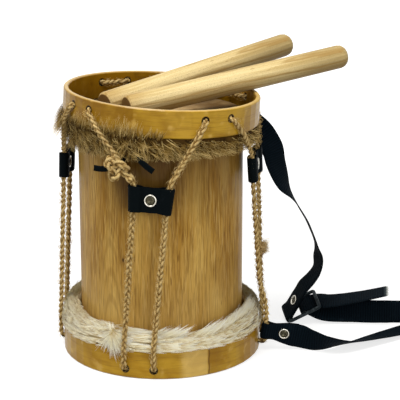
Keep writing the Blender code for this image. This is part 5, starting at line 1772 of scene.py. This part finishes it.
# %% Frayed end of the tail
local = np.random.default_rng(101)
count = 420
end_point, end_across, end_normal, end_along, _run = frames(long_rows)[-1]
shares = local.uniform(-1.0, 1.0, count)
roots = [end_point + end_across * (s * STRAP_WIDTH / 2 * 0.97) - end_along * 0.0006
         + end_normal * (local.uniform(-0.4, 0.4) * STRAP_THICKNESS) for s in shares]
long = local.uniform(0.0012, 0.0042, count)
tips = [root + (end_along + end_normal * local.normal(0.0, 0.25) + end_across * local.normal(0.0, 0.3)) * reach
        for root, reach in zip(roots, long)]
bends = [(root + tip) / 2 for root, tip in zip(roots, tips)]
vertices, faces, layers = ribbons(roots, tips, bends, np.full(count, 0.00026), tuple(end_normal), segments=3,
                                  curl=0.0003, seed=102)
FRAY = fibre_material("webbing_fibre", (70, 78, 80), (150, 154, 150), (206, 206, 198))
fray = piece("strap_fray", vertices, faces, FRAY, "drum", attributes=layers)
print("frayed end:", count, "fibres")

# %% Strap rivets and buckle
def strap_rivet_cap(name, rows, distance):
    spot = min(frames(rows), key=lambda row: abs(row[4] - distance))
    point, width, normal, tangent, _run = spot
    axes = Matrix((width, tangent, width.cross(tangent))).transposed().to_4x4()
    rim, middle = rivet_cap(Matrix.Translation(point) @ axes, 0.0055, STRAP_THICKNESS + 0.75 * CLEARANCE)
    piece("rim_" + name, rim[0], rim[1], NICKEL, "drum", ["strap_rivet_" + name])
    piece("middle_" + name, middle[0], middle[1], MIDDLE, "drum")


strap_rivet_cap("top", upper_line, STRAP_RIVET_AT)
strap_rivet_cap("buckle", backwards, LOWER_RIVET_AT)
strap_rivet_cap("foot", long_line, LOWER_RIVET_AT)
graph = Graph("slate_buckle")
point = graph.object_point()
wear = graph.noise(point, 240.0, 4.0, 0.6)
fine = graph.noise(point, 1800.0, 2.0, 0.6)
colour = graph.mix(wear.between(0.42, 0.70), srgb(26, 33, 36), srgb(62, 70, 73))
normal = graph.bump(fine, 0.15, 0.0002)
paint(["strap_buckle"], graph.surface(colour, fine * 0.15 + 0.36, normal, Metallic=0.25))
print("strap rivets: 3")

# %% [markdown]
# ## A tuft on the right-hand ropes
#
# A small tuft of loose fibres stands out of the rope at the right, where a strand has frayed.

# %% Tuft
local = np.random.default_rng(111)
count = 900
centre = around(0.1036, 96.2, 0.1030)
spread = local.normal(0.0, 1.0, (count, 3)) * (0.0014, 0.0011, 0.0030)
roots = np.array(tuple(centre)) + spread
out, aside = directions(np.full(count, 96.2))
flow = out * local.uniform(0.5, 1.0, count)[:, None] + aside * local.normal(0.0, 0.30, count)[:, None]
flow += up * local.normal(0.20, 0.45, count)[:, None]
length = local.uniform(0.004, 0.0110, count)[:, None]
tips = roots + flow * length
bends = roots + flow * length * 0.5 + up * length * 0.2
vertices, faces, layers = ribbons(roots, tips, bends, np.full(count, 0.00042), out + up * 0.3, segments=4, curl=0.0006,
                                  seed=112)
TUFT = fibre_material("tuft_fibre", (200, 166, 106), (226, 198, 140), (244, 224, 176))
piece("rope_tuft", vertices, faces, TUFT, "drum", attributes=layers)
print("tuft:", count, "fibres")
